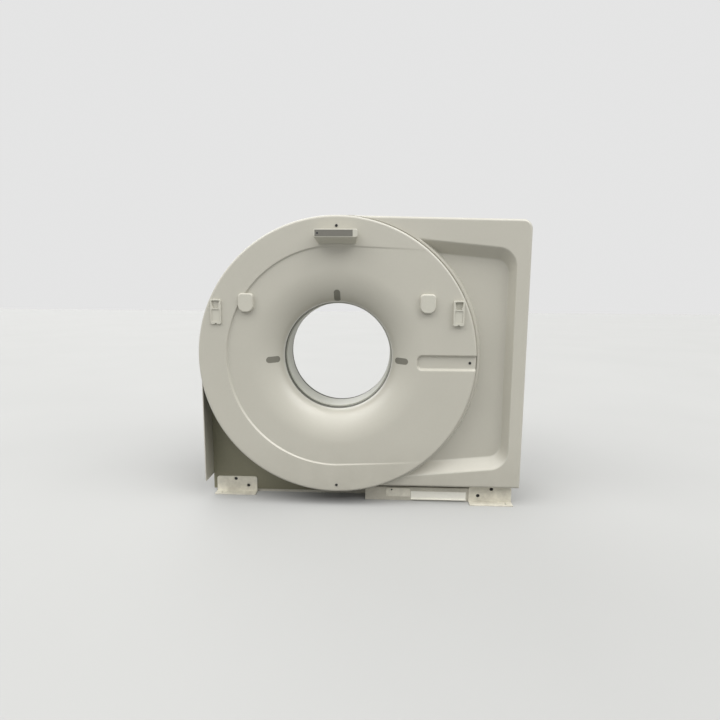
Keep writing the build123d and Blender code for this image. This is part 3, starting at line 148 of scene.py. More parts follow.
class Nodes:
    """Makes, feeds and links the nodes of one tree."""

    def __init__(self, owner: bpy.types.ID) -> None:
        """Turns the owner's nodes on and clears them.

        Args:
            owner: the material or world that the tree belongs to.
        """
        owner.use_nodes = True
        self.tree = owner.node_tree
        self.tree.nodes.clear()

    def node(self, kind: str, settings: dict, inputs: dict) -> bpy.types.Node:
        """Adds a node, sets it up and feeds its sockets.

        Args:
            kind: the node's type.
            settings: its properties.
            inputs: its sockets' values or links, by name or number.

        Returns:
            The new node.
        """
        made = self.tree.nodes.new(kind)
        for name, value in settings.items():
            setattr(made, name, value)
        for name, value in inputs.items():
            self.feed(made.inputs[name], value)
        return made

    def feed(self, socket: bpy.types.NodeSocket, value: Input) -> None:
        """Links a socket or sets its value.

        Args:
            socket: the input to feed.
            value: a Value, an output socket, a colour, a place or a number.
        """
        if isinstance(value, Value):
            self.tree.links.new(value.socket, socket)
        elif isinstance(value, bpy.types.NodeSocket):
            self.tree.links.new(value, socket)
        elif socket.type == "RGBA":
            socket.default_value = (*value, 1.0)
        else:
            socket.default_value = value

    def looked_at(self) -> Value:
        """Tells the rays that look at a thing from those that only light it.

        Returns:
            1 for camera rays and for rays that gloss or glass sends on, otherwise 0.
        """
        path = self.node("ShaderNodeLightPath", {}, {})
        looked = Value(self, path.outputs["Is Camera Ray"])
        for name in ("Is Glossy Ray", "Is Transmission Ray"):
            looked = looked.math("MAXIMUM", looked, path.outputs[name])
        return looked


class Surface(Nodes):
    """A material's nodes around one Principled shader."""

    def __init__(self, name: str) -> None:
        """Makes the material with its shader, its output and the object's own space.

        Args:
            name: the material's name.
        """
        self.material = bpy.data.materials.new(name)
        super().__init__(self.material)
        self.shader = self.node("ShaderNodeBsdfPrincipled", {}, {})
        self.node("ShaderNodeOutputMaterial", {}, {"Surface": self.shader.outputs[0]})
        self.place = self.node("ShaderNodeTexCoord", {}, {}).outputs["Object"]

    def give(self, socket: str, value: Input) -> None:
        """Feeds one of the shader's own sockets."""
        self.feed(self.shader.inputs[socket], value)

    def blend(self, share: Operand, first: Input, second: Input) -> bpy.types.NodeSocket:
        """Mixes two colours.

        Args:
            share: how much of the second shows.
            first: one colour.
            second: the other colour.

        Returns:
            The mixed colour's socket.
        """
        inputs = {MIX_SHARE: share, MIX_FIRST: first, MIX_SECOND: second}
        mix = self.node("ShaderNodeMix", {"data_type": "RGBA"}, inputs)
        return mix.outputs[MIX_COLOUR]


@dataclass(frozen=True)
class Noise:
    """A cloudy pattern: features in a metre, finer layers, and stretch along each axis."""

    scale: float
    detail: float
    stretch: Triple = (1.0, 1.0, 1.0)

    def add(self, surface: Surface) -> Value:
        """Adds the pattern to a material, in the object's own space.

        Args:
            surface: the material.

        Returns:
            The pattern, around one half.
        """
        inputs = {0: surface.place, 1: self.stretch}
        where = surface.node("ShaderNodeVectorMath", {"operation": "MULTIPLY"}, inputs)
        inputs = {"Vector": where.outputs[0], "Scale": self.scale, "Detail": self.detail}
        return Value(surface, surface.node("ShaderNodeTexNoise", {}, inputs).outputs[0])


@dataclass(frozen=True)
class Cells:
    """A pattern of crystals: how many a metre holds."""

    scale: float

    def add(self, surface: Surface) -> Value:
        """Adds the pattern to a material, in the object's own space.

        Args:
            surface: the material.

        Returns:
            The distance from each crystal's middle.
        """
        inputs = {"Vector": surface.place, "Scale": self.scale}
        return Value(surface, surface.node("ShaderNodeTexVoronoi", {}, inputs).outputs[0])


class Grain(Enum):
    """Small-scale relief of a finish, as the pattern that raises it."""

    SMOOTH = None
    PEEL = Noise(240.0, 1.0)
    MOULDED = Noise(900.0, 2.0)
    CAST = Noise(420.0, 4.0)
    BRUSHED = Noise(30.0, 3.0, (1.0, 40.0, 40.0))
    SPANGLE = Cells(70.0)


# Wear, darkening towards the floor and painted shade behind holes, which the finishes share, with
# heights and distances in metres
TINT_DETAIL = 3.0
TINT_FINE = Noise(60.0, 2.0)
TINT_SHARES = (0.7, 0.3)
TINT_SPAN = (0.3, 0.7)
# Darker, browner colour towards the floor, broken up by streaks
LOW_DARKENING_NOISE = Noise(9.0, 5.0)
LOW_DARKENING_SPAN = (0.35, 0.75)
LOW_DARKENING_HEIGHTS = (0.02, 0.45)
LOW_DARKENING_LEAST = 0.4
LOW_DARKENING_COLOUR = srgb(112, 104, 88)
HANDLING = Noise(14.0, 3.0)
COAT_ROUGHNESS = 0.38
BUMP_STRENGTH = 0.5
# Painted shade behind the plates' holes: the radii over which it fades out, and its colour
HOLE_SHADE_RIM = (0.0125, 0.0145)
HOLE_SHADE_COLOUR = srgb(20, 20, 18)

# Middles of the holes in the brackets and the guard plate, in metres, round which painted shade
# darkens the surface behind
PLATE_HOLES = (
    (-0.740, -0.070, 0.094), (-0.650, -0.070, 0.046),
    (1.052, -0.165, 0.094), (0.962, -0.165, 0.046),
    (-0.740, 0.398, 0.094), (-0.650, 0.398, 0.046),
    (1.052, 0.398, 0.094), (0.962, 0.398, 0.046),
    (0.372, -0.165, 0.076),
)


@dataclass(frozen=True)
class Finish:
    """One surface finish.

    The colour is mottled with the tint, in so many patches a metre. Uneven is how far the
    roughness varies, depth is the height of the grain in metres, and the darkening share is how
    far the colour turns darker and browner towards the floor. Hole shade middles are the middles
    of holes in what lies in front of the surface, round which painted shade darkens it.
    """

    name: str
    colour: Triple
    tint: Triple
    roughness: float = 0.4
    uneven: float = 0.06
    metallic: float = 0.0
    coat: float = 0.0
    grain: Grain = Grain.SMOOTH
    depth: float = 0.0002
    low_darkening: float = 0.0
    patches: float = 2.5
    hole_shades: tuple[Triple, ...] = ()

    def material(self) -> bpy.types.Material:
        """Builds the finish as a procedural material.

        Returns:
            The material.
        """
        surface = Surface(self.name)
        broad = Noise(self.patches, TINT_DETAIL).add(surface)
        share = broad * TINT_SHARES[0] + TINT_FINE.add(surface) * TINT_SHARES[1]
        colour = surface.blend(share.span(*TINT_SPAN), self.colour, self.tint)
        # Darker and browner towards the floor
        if self.low_darkening:
            colour = surface.blend(self.darkening_share(surface), colour, LOW_DARKENING_COLOUR)
        # Painted shade: a dark disc on the surface behind each hole in the plate in front of it
        for shaded_hole in self.hole_shades:
            inputs = {0: surface.place, 1: shaded_hole}
            away = surface.node("ShaderNodeVectorMath", {"operation": "DISTANCE"}, inputs)
            shade = 1.0 - Value(surface, away.outputs[1]).span(*HOLE_SHADE_RIM)
            colour = surface.blend(shade, colour, HOLE_SHADE_COLOUR)
        surface.give("Base Color", colour)
        rough = self.roughness + (HANDLING.add(surface) - 0.5) * self.uneven
        surface.give("Roughness", rough)
        surface.give("Metallic", self.metallic)
        if self.coat:
            surface.give("Coat Weight", self.coat)
            surface.give("Coat Roughness", COAT_ROUGHNESS)
        if self.grain is not Grain.SMOOTH:
            height = self.grain.value.add(surface)
            inputs = {"Height": height, "Distance": self.depth, "Strength": BUMP_STRENGTH}
            surface.give("Normal", surface.node("ShaderNodeBump", {}, inputs).outputs[0])
        return surface.material

    def darkening_share(self, surface: Surface) -> Value:
        """How far the colour turns darker and browner towards the floor.

        Args:
            surface: the material it is built in.

        Returns:
            How much of the darker, browner colour shows.
        """
        place = surface.node("ShaderNodeSeparateXYZ", {}, {0: surface.place})
        low = 1.0 - Value(surface, place.outputs[2]).span(*LOW_DARKENING_HEIGHTS)
        streaks = LOW_DARKENING_NOISE.add(surface).span(*LOW_DARKENING_SPAN)
        return low * (LOW_DARKENING_LEAST + streaks * (1.0 - LOW_DARKENING_LEAST)) * self.low_darkening


FINISHES = (
    Finish("cover_paint", srgb(181, 178, 166), srgb(177, 174, 162), roughness=0.46, uneven=0.05,
           coat=0.8, grain=Grain.PEEL, depth=0.00006, low_darkening=0.3),
    Finish("moulded_white", srgb(192, 190, 178), srgb(188, 185, 173), roughness=0.46,
           grain=Grain.MOULDED, depth=0.00006),
    Finish("smoked_window", srgb(112, 110, 102), srgb(106, 104, 96), roughness=0.3, coat=0.2),
    Finish("lens_glass", srgb(38, 38, 40), srgb(30, 30, 32), roughness=0.12, coat=0.5),
    Finish("laser_window", srgb(116, 114, 103), srgb(108, 106, 96)),
    Finish("black_housing", srgb(42, 42, 43), srgb(34, 34, 35), roughness=0.55,
           grain=Grain.MOULDED),
    Finish("black_screw", srgb(30, 30, 30), srgb(22, 22, 22)),
    Finish("zinc_steel", srgb(176, 176, 172), srgb(160, 160, 156), roughness=0.38, metallic=0.9,
           grain=Grain.BRUSHED),
    Finish("gasket_rubber", srgb(84, 84, 73), srgb(76, 76, 66), roughness=0.6,
           grain=Grain.MOULDED),
    Finish("tunnel_shell", srgb(186, 186, 175), srgb(180, 180, 169), roughness=0.45,
           grain=Grain.PEEL, depth=0.00005),
    Finish("olive_panel", srgb(124, 122, 101), srgb(114, 112, 92), roughness=0.5, uneven=0.1,
           grain=Grain.PEEL, depth=0.0001, low_darkening=0.35, hole_shades=PLATE_HOLES),
    Finish("grey_plastic", srgb(176, 175, 168), srgb(166, 165, 158), roughness=0.5,
           grain=Grain.MOULDED),
    Finish("fan_frame", srgb(48, 48, 49), srgb(40, 40, 41), roughness=0.5, grain=Grain.MOULDED),
    Finish("fan_blade", srgb(58, 58, 60), srgb(50, 50, 52)),
    Finish("base_paint", srgb(208, 204, 190), srgb(182, 178, 165), roughness=0.5, uneven=0.14,
           metallic=0.15, grain=Grain.SPANGLE, low_darkening=0.15, patches=6.0, hole_shades=PLATE_HOLES),
    # Near-white colours that paint in the bright sheen of the zinc, and the light lost to the
    # shade under the covers' overhang
    Finish("galvanised", srgb(232, 228, 213), srgb(198, 194, 180), roughness=0.5, uneven=0.16,
           metallic=0.15, grain=Grain.SPANGLE, low_darkening=0.15, patches=9.0),
    Finish("bright_sill", srgb(242, 240, 230), srgb(232, 230, 219), uneven=0.14, metallic=0.1,
           grain=Grain.BRUSHED, low_darkening=0.05),
    Finish("cast_aluminium", srgb(190, 191, 192), srgb(176, 177, 178), roughness=0.42,
           metallic=0.85, grain=Grain.CAST),
    Finish("stator_paint", srgb(150, 151, 150), srgb(140, 141, 140), roughness=0.45,
           grain=Grain.CAST),
    Finish("bearing_steel", srgb(172, 173, 175), srgb(160, 161, 163), roughness=0.25,
           metallic=0.95),
    Finish("roller_steel", srgb(200, 201, 203), srgb(188, 189, 191), roughness=0.16,
           metallic=1.0),
    Finish("slip_ring_resin", srgb(134, 92, 56), srgb(120, 82, 50), roughness=0.35, coat=0.2),
    Finish("tube_housing", srgb(214, 213, 208), srgb(204, 203, 198), grain=Grain.CAST),
    Finish("collimator_metal", srgb(150, 151, 152), srgb(138, 139, 140), roughness=0.45,
           metallic=0.8, grain=Grain.CAST),
    Finish("tank_paint", srgb(206, 206, 201), srgb(196, 196, 191), grain=Grain.PEEL),
    Finish("unit_aluminium", srgb(182, 184, 186), srgb(168, 170, 172), metallic=0.85,
           grain=Grain.BRUSHED),
    Finish("unit_blue_grey", srgb(116, 130, 140), srgb(106, 120, 130), roughness=0.42,
           grain=Grain.PEEL),
    Finish("detector_housing", srgb(120, 123, 126), srgb(108, 111, 114), metallic=0.7,
           grain=Grain.CAST),
    Finish("detector_face", srgb(48, 48, 52), srgb(40, 40, 44), roughness=0.5),
    Finish("motor_paint", srgb(48, 49, 52), srgb(40, 41, 44), grain=Grain.CAST),
    Finish("pulley_steel", srgb(150, 151, 152), srgb(136, 137, 138), roughness=0.3, metallic=0.9,
           grain=Grain.BRUSHED),
    Finish("belt_rubber", srgb(34, 34, 34), srgb(28, 28, 28), roughness=0.65,
           grain=Grain.MOULDED),
    Finish("cabinet_paint", srgb(170, 172, 172), srgb(160, 162, 162), roughness=0.42,
           grain=Grain.PEEL),
    Finish("computer_case", srgb(72, 73, 75), srgb(64, 65, 67), roughness=0.45,
           grain=Grain.PEEL),
)


class Wardrobe:
    """Every finish as a material, made once, and the frame's nodes dressed in them."""

    def __init__(self) -> None:
        """Builds the materials."""
        self.materials = {finish.name: finish.material() for finish in FINISHES}

    def dress(self, piece: bpy.types.Object, slot: str) -> None:
        """Gives a piece one finish.

        Args:
            piece: the piece to dress.
            slot: the finish's name, which is also the record's slot.
        """
        piece.data.materials.clear()
        piece.data.materials.append(self.materials[slot])

    def dress_nodes(self) -> None:
        """Dresses every node of the frame."""
        for entry in frame["record"]["subparts"]:
            node = frame["nodes"][entry["node"]]
            self.dress(node, entry["material_slot"])
            LOG.info("dressed %s as %s", entry["node"], entry["material_slot"])


# Meshes from profiles

# Keeps a zero length from spoiling a division
TINY = 1e-9
# How many samples a bend is spread over before it draws points
BEND_WINDOW = 41


def ramp(share: np.ndarray) -> np.ndarray:
    """Soft step from 0 to 1."""
    held = np.clip(share, 0.0, 1.0)
    return held * held * (3.0 - 2.0 * held)


def soft_min(first: np.ndarray, second: np.ndarray, width: float) -> np.ndarray:
    """Smaller of two fields, with a rounded valley.

    Args:
        first: one field.
        second: the other field.
        width: how wide the rounding is.

    Returns:
        The rounded minimum.
    """
    share = np.clip(0.5 + 0.5 * (second - first) / width, 0.0, 1.0)
    return second + (first - second) * share - width * share * (1.0 - share)


def rolled(distance: np.ndarray, radius: float) -> np.ndarray:
    """How far a rolled edge falls behind the face.

    Args:
        distance: how far points lie inside the edge.
        radius: the edge's radius.

    Returns:
        The fall, from the radius at the edge to 0.
    """
    short = radius - np.clip(distance, 0, radius)
    return radius - np.sqrt(np.maximum(radius**2 - short**2, 0))


def resample(profile: np.ndarray, count: int, care: float) -> np.ndarray:
    """Spreads points along many profiles, closer together where they bend.

    Args:
        profile: points of shape (rays, samples, 3).
        count: how many points each ray keeps.
        care: how strongly bends draw points.

    Returns:
        Points of shape (rays, count, 3), with both ends exact.
    """
    step = np.diff(profile, axis=1)
    length = np.linalg.norm(step, axis=2) + TINY
    way = step / length[..., None]
    turn = np.linalg.norm(np.diff(way, axis=1), axis=2)
    turn = np.pad(turn, ((0, 0), (1, 0)))
    kernel = np.hanning(BEND_WINDOW)
    kernel /= kernel.sum()
    spread = np.apply_along_axis(lambda row: np.convolve(row, kernel, "same"), 1, turn)
    weight = length / length.sum(axis=1, keepdims=True)
    weight = weight + care * spread / (spread.sum(axis=1, keepdims=True) + TINY)
    total = np.concatenate([np.zeros((len(weight), 1)), np.cumsum(weight, axis=1)], axis=1)
    total /= total[:, -1:]
    wanted = np.linspace(0.0, 1.0, count)
    made = np.empty((len(profile), count, 3))
    for ray in range(len(profile)):
        for part in range(3):
            made[ray, :, part] = np.interp(wanted, total[ray], profile[ray, :, part])
    return made


def at_depth(points: np.ndarray, depth: float) -> np.ndarray:
    """Copies points to one depth.

    Args:
        points: the points.
        depth: their new place from front to back.

    Returns:
        The moved copy.
    """
    moved = points.copy()
    moved[..., 1] = depth
    return moved


def wall_loops(
    front: np.ndarray, inside: np.ndarray, outer_back: float, inner_back: float
) -> np.ndarray:
    """Joins a front and an inside into one closed loop per ray.

    Args:
        front: points of the front, from the hole outwards.
        inside: points of the inside, from the outer edge inwards.
        outer_back: how far back the wall reaches along the outer edge.
        inner_back: how far back it reaches round the hole.

    Returns:
        Points of shape (rays, samples, 3).
    """
    outer = [at_depth(front[:, -1:], outer_back), at_depth(inside[:, :1], outer_back)]
    inner = [at_depth(inside[:, -1:], inner_back), at_depth(front[:, :1], inner_back)]
    return np.concatenate([front, *outer, inside, *inner], axis=1)


def signed_volume(mesh: bpy.types.Mesh) -> float:
    """Volume inside a closed mesh.

    Args:
        mesh: the mesh.

    Returns:
        The volume, negative where the faces look inward.
    """
    mesh.calc_loop_triangles()
    points = np.array([vertex.co for vertex in mesh.vertices])
    corners = points[np.array([face.vertices for face in mesh.loop_triangles])]
    normals = np.cross(corners[:, 1], corners[:, 2])
    return float(np.einsum("ij,ij->i", corners[:, 0], normals).sum() / 6)


def closed_mesh(name: str, points: list, faces: list[list[int]]) -> bpy.types.Object:
    """Makes a closed object whose faces look outward.

    Args:
        name: the object's name.
        points: its points, in metres.
        faces: the numbers of the points round each face.

    Returns:
        The new object, in the scene.
    """
    mesh = bpy.data.meshes.new(name)
    mesh.from_pydata(points, [], faces)
    mesh.validate()
    if signed_volume(mesh) < 0:
        mesh.flip_normals()
    made = bpy.data.objects.new(name, mesh)
    bpy.context.scene.collection.objects.link(made)
    return made


def smooth_by_angle(piece: bpy.types.Object) -> None:
    """Shades a mesh object smooth, with its steeper edges kept sharp."""
    piece.data.polygons.foreach_set("use_smooth", [True] * len(piece.data.polygons))
    piece.data.set_sharp_from_angle(angle=SHARP_ANGLE)


def shell(name: str, loops: np.ndarray, around: bool) -> bpy.types.Object:
    """Closed mesh from one closed loop of points per ray.

    Args:
        name: the piece's name.
        loops: points of shape (rays, samples, 3), in metres.
        around: whether the last ray joins the first; otherwise both ends get a cap.

    Returns:
        The new object.
    """
    rays, samples, _ = loops.shape
    numbers = np.arange(rays * samples).reshape(rays, samples)
    start = numbers if around else numbers[:-1]
    after = np.roll(numbers, -1, axis=0) if around else numbers[1:]
    faces = [start, np.roll(start, -1, axis=1), np.roll(after, -1, axis=1), after]
    polygons = np.stack(faces, axis=-1).reshape(-1, 4).tolist()
    if not around:
        polygons += [numbers[0][::-1].tolist(), numbers[-1].tolist()]
    made = closed_mesh(name, loops.reshape(-1, 3).tolist(), polygons)
    smooth_by_angle(made)
    return made


def cut(piece: bpy.types.Object, tools: list[bpy.types.Object]) -> None:
    """Cuts closed tools out of a piece and removes them.

    Args:
        piece: the piece that is cut.
        tools: the closed meshes to take away.
    """
    for tool in tools:
        modifier = piece.modifiers.new("cut", "BOOLEAN")
        modifier.operation = "DIFFERENCE"
        modifier.solver = "FAST"
        modifier.object = tool
    bpy.context.view_layer.update()
    graph = bpy.context.evaluated_depsgraph_get()
    made = bpy.data.meshes.new_from_object(piece.evaluated_get(graph))
    piece.modifiers.clear()
    piece.data = made
    for tool in tools:
        bpy.data.objects.remove(tool)
    smooth_by_angle(piece)


@dataclass
class FrontDisc:
    """The moulded front disc: funnel, field, sinking band, step, channel and rolled rim.

    Sizes are in metres. Depths count from the scan plane and are negative in front of it: face
    is the band where it stands proudest, field the inner face, land and back the two ends of
    the lip, and skirt the back of the rim. The step is an arc on the left that goes over into
    two slightly sloping lines from step_turn on, and the band sinks into the field at fade.
    """

    radius: float = 0.900
    edge: float = 0.016
    face: float = -0.295
    field: float = -0.281
    skirt: float = -0.225
    lip: float = 0.360
    land: float = -0.158
    back: float = -0.150
    funnel: float = 0.575
    wall: float = 0.008
    step_radius: float = 0.706
    step_fall: float = math.radians(2.6)
    step_width: float = 0.012
    step_turn: float = -0.02
    step_turn_width: float = 0.08
    fade: float = 0.590
    fade_round: float = 0.0006
    exponent_limit: float = 30.0
    channel_start: float = 0.515
    channel_past_rim: float = 0.15
    channel_drop: float = 0.023
    channel_height: float = 0.104
    channel_depth: float = 0.018
    channel_slope: float = 0.016
    channel_corner: float = 0.038
    lasers: tuple[tuple[float, float], ...] = ((90, 0.398), (182.5, 0.418), (-2.5, 0.418))
    laser_length: float = 0.098
    laser_width: float = 0.042
    laser_reach: float = 0.03
    laser_points: int = 40
    close_angle: float = 14.0
    close_rays: int = 70
    other_rays: int = 379
    level_angle: float = math.radians(12)
    level_fade: float = math.radians(33)
    level_radius: float = 0.52
    funnel_samples: int = 300
    field_samples: int = 700
    rim_samples: int = 120
    front_points: int = 92
    front_care: float = 1.6
    inside_points: int = 30
    inside_care: float = 1.0

    def step_distance(self, x: np.ndarray, z: np.ndarray) -> np.ndarray:
        """How far points lie outside the inner field's outline.

        Args:
            x: how far right each point is.
            z: its height over the bore's axis.

        Returns:
            The distances, negative inside.
        """
        low, level = math.sin(self.step_fall), math.cos(self.step_fall)
        arc = np.hypot(x, z) - self.step_radius
        run = (np.abs(z) - self.step_radius * level) * level + (x - self.step_radius * low) * low
        straight = ramp((x - self.step_turn) / self.step_turn_width)
        return arc * (1.0 - straight) + run * straight

    def channel_distance(self, x: np.ndarray, z: np.ndarray) -> np.ndarray:
        """How far points lie inside the channel's outline.

        Args:
            x: how far right each point is.
            z: its height over the bore's axis.

        Returns:
            The distances, negative outside.
        """
        far = self.radius + self.channel_past_rim
        half_width = (far - self.channel_start) / 2 - self.channel_corner
        half_height = self.channel_height / 2 - self.channel_corner
        across = np.abs(x - (far + self.channel_start) / 2) - half_width
        up = np.abs(z + self.channel_drop) - half_height
        outside = np.hypot(np.maximum(across, 0), np.maximum(up, 0))
        return self.channel_corner - outside - np.minimum(np.maximum(across, up), 0)

    def raised(self, x: np.ndarray, z: np.ndarray) -> np.ndarray:
        """How far the outer band stands out of the field.

        Args:
            x: how far right each point is.
            z: its height over the bore's axis.

        Returns:
            The heights, which fade out softly towards the right.
        """
        height = (self.field - self.face) * (self.fade - x) / (self.fade + self.radius)
        exponent = np.clip(height / self.fade_round, -self.exponent_limit, self.exponent_limit)
        height = np.log1p(np.exp(exponent)) * self.fade_round
        return height * ramp(self.step_distance(x, z) / self.step_width)

    def sunk(self, x: np.ndarray, z: np.ndarray) -> np.ndarray:
        """How far the channel lies below the field."""
        return self.channel_depth * ramp(self.channel_distance(x, z) / self.channel_slope)

    def section(self, inset: float) -> tuple[np.ndarray, np.ndarray]:
        """Profile from the lip to the rim, without the band and the channel.

        Args:
            inset: how far it is drawn in.

        Returns:
            Each sample's distance from the bore's axis, and its fall behind the field.
        """
        turn = np.linspace(0, QUARTER_TURN, self.funnel_samples)
        flat = np.linspace(self.funnel, self.radius - self.edge, self.field_samples)[1:]
        rim_turn = np.linspace(0, QUARTER_TURN, self.rim_samples)[1:]
        width = self.funnel - self.lip - inset
        drop = self.land - self.field - inset
        roll = self.edge - inset
        rim = self.radius - self.edge + roll * np.sin(rim_turn)
        radii = np.concatenate([self.funnel - width * np.cos(turn), flat, rim])
        rim_fall = roll * (1 - np.cos(rim_turn))
        fall = np.concatenate([drop * (1 - np.sin(turn)), np.zeros(len(flat)), rim_fall])
        return radii, fall

    def skin(self, angles: np.ndarray, inset: float) -> np.ndarray:
        """Points of the front along rays that run level beside the channel.

        Args:
            angles: each ray's angle at the funnel, from -pi to pi.
            inset: how far the front is drawn in.

        Returns:
            Points of shape (rays, samples, 3).
        """
        radii, fall = self.section(inset)
        warp = 1.0 - ramp((np.abs(angles) - self.level_angle) / self.level_fade)[:, None]
        start = angles[:, None]
        height = self.level_radius * np.sin(start) / np.maximum(radii, self.level_radius)
        level = np.arcsin(np.clip(height, -1, 1))
        to_right = (np.abs(start) < QUARTER_TURN) & (radii[None] > self.level_radius)
        turned = start * (1 - warp) + np.where(to_right, level, start) * warp
        x, z = radii * np.cos(turned), radii * np.sin(turned)
        raised = np.where(radii[None] < self.funnel, 0.0, self.raised(x, z))
        y = self.field - raised + self.sunk(x, z) + fall[None] + inset
        return np.stack([x, y, z + AXIS_HEIGHT], axis=-1)

    def build(self, wardrobe: Wardrobe) -> bpy.types.Object:
        """Builds the disc's closed shell with its three laser slots.

        Args:
            wardrobe: the finishes.

        Returns:
            The finished piece.
        """
        limit = self.close_angle
        close = np.radians(np.linspace(-limit, limit, self.close_rays + 1))[:-1]
        others = np.radians(np.linspace(limit, 360 - limit, self.other_rays + 1))[:-1]
        angles = (np.concatenate([close, others]) + math.pi) % (2 * math.pi) - math.pi
        front = resample(self.skin(angles, 0.0), self.front_points, self.front_care)
        inside = resample(self.skin(angles, self.wall), self.inside_points, self.inside_care)
        loops = wall_loops(front, inside[:, ::-1], self.skirt, self.back)
        disc = shell("front_disc", loops, True)
        cut(disc, [self.slot_tool(*place) for place in self.lasers])
        wardrobe.dress(disc, "cover_paint")
        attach(disc, "gantry")
        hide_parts("front_disc_cover")
        LOG.info("front_disc: %d faces", len(disc.data.polygons))
        return disc

    def slot_tool(self, angle: float, radius: float) -> bpy.types.Object:
        """Prism that cuts one laser slot, square to the funnel.

        Args:
            angle: place of the slot round the bore, in degrees.
            radius: distance of the slot's middle from the bore's axis.

        Returns:
            The tool.
        """
        width, drop = self.funnel - self.lip, self.land - self.field
        turn = math.acos((self.funnel - radius) / width)
        around = math.radians(angle)
        out = Vector((math.cos(around), 0, math.sin(around)))
        side = Vector((-math.sin(around), 0, math.cos(around)))
        middle = out * radius + Vector((0, self.land - drop * math.sin(turn), AXIS_HEIGHT))
        normal = out * -drop * math.cos(turn) + Vector((0, -width * math.sin(turn), 0))
        normal.normalize()
        slope = side.cross(normal)
        half, long = self.laser_width / 2, (self.laser_length - self.laser_width) / 2
        count = self.laser_points
        outline = []
        for number in range(count):
            part = 2 * math.pi * (number + 0.5) / count
            along = half * math.sin(part) + math.copysign(long, math.sin(part))
            outline.append(side * (half * math.cos(part)) + slope * along)
        ends = (normal * -self.laser_reach, normal * self.laser_reach)
        points = [tuple(middle + point + end) for end in ends for point in outline]
        faces = [list(range(count))[::-1], list(range(count, 2 * count))]
        for number in range(count):
            after = (number + 1) % count
            faces.append([number, after, after + count, number + count])
        return closed_mesh("slot_tool", points, faces)


@dataclass
class BoreGasket:
    """The dark seal behind the funnel's lip, set back so that it shows only from aside."""

    inner: float = 0.3597
    outer: float = 0.368
    front: float = -0.150
    back: float = -0.095
    edge: float = 0.002
    edge_points: int = 6
    ray_angle: float = 1.5

    def build(self, wardrobe: Wardrobe) -> bpy.types.Object:
        """Builds the seal as a turned ring with a rounded inner edge.

        Args:
            wardrobe: the finishes.

        Returns:
            The finished piece.
        """
        turn = np.linspace(0, QUARTER_TURN, self.edge_points)
        bend_radii = self.inner + self.edge * (1 - np.cos(turn))
        bend_depths = self.front + self.edge * (1 - np.sin(turn))
        rest = [(self.outer, self.front), (self.outer, self.back), (self.inner, self.back)]
        radii, depths = np.concatenate([np.stack([bend_radii, bend_depths], -1), rest]).T
        angles = np.radians(np.arange(0, 360, self.ray_angle))[:, None]
        x, z = radii * np.cos(angles), radii * np.sin(angles) + AXIS_HEIGHT
        seal = shell("front_seal", np.stack([x, np.broadcast_to(depths, x.shape), z], -1), True)
        wardrobe.dress(seal, "gasket_rubber")
        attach(seal, "gantry")
        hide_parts("bore_gasket")
        LOG.info("front_seal: %d faces", len(seal.data.polygons))
        return seal


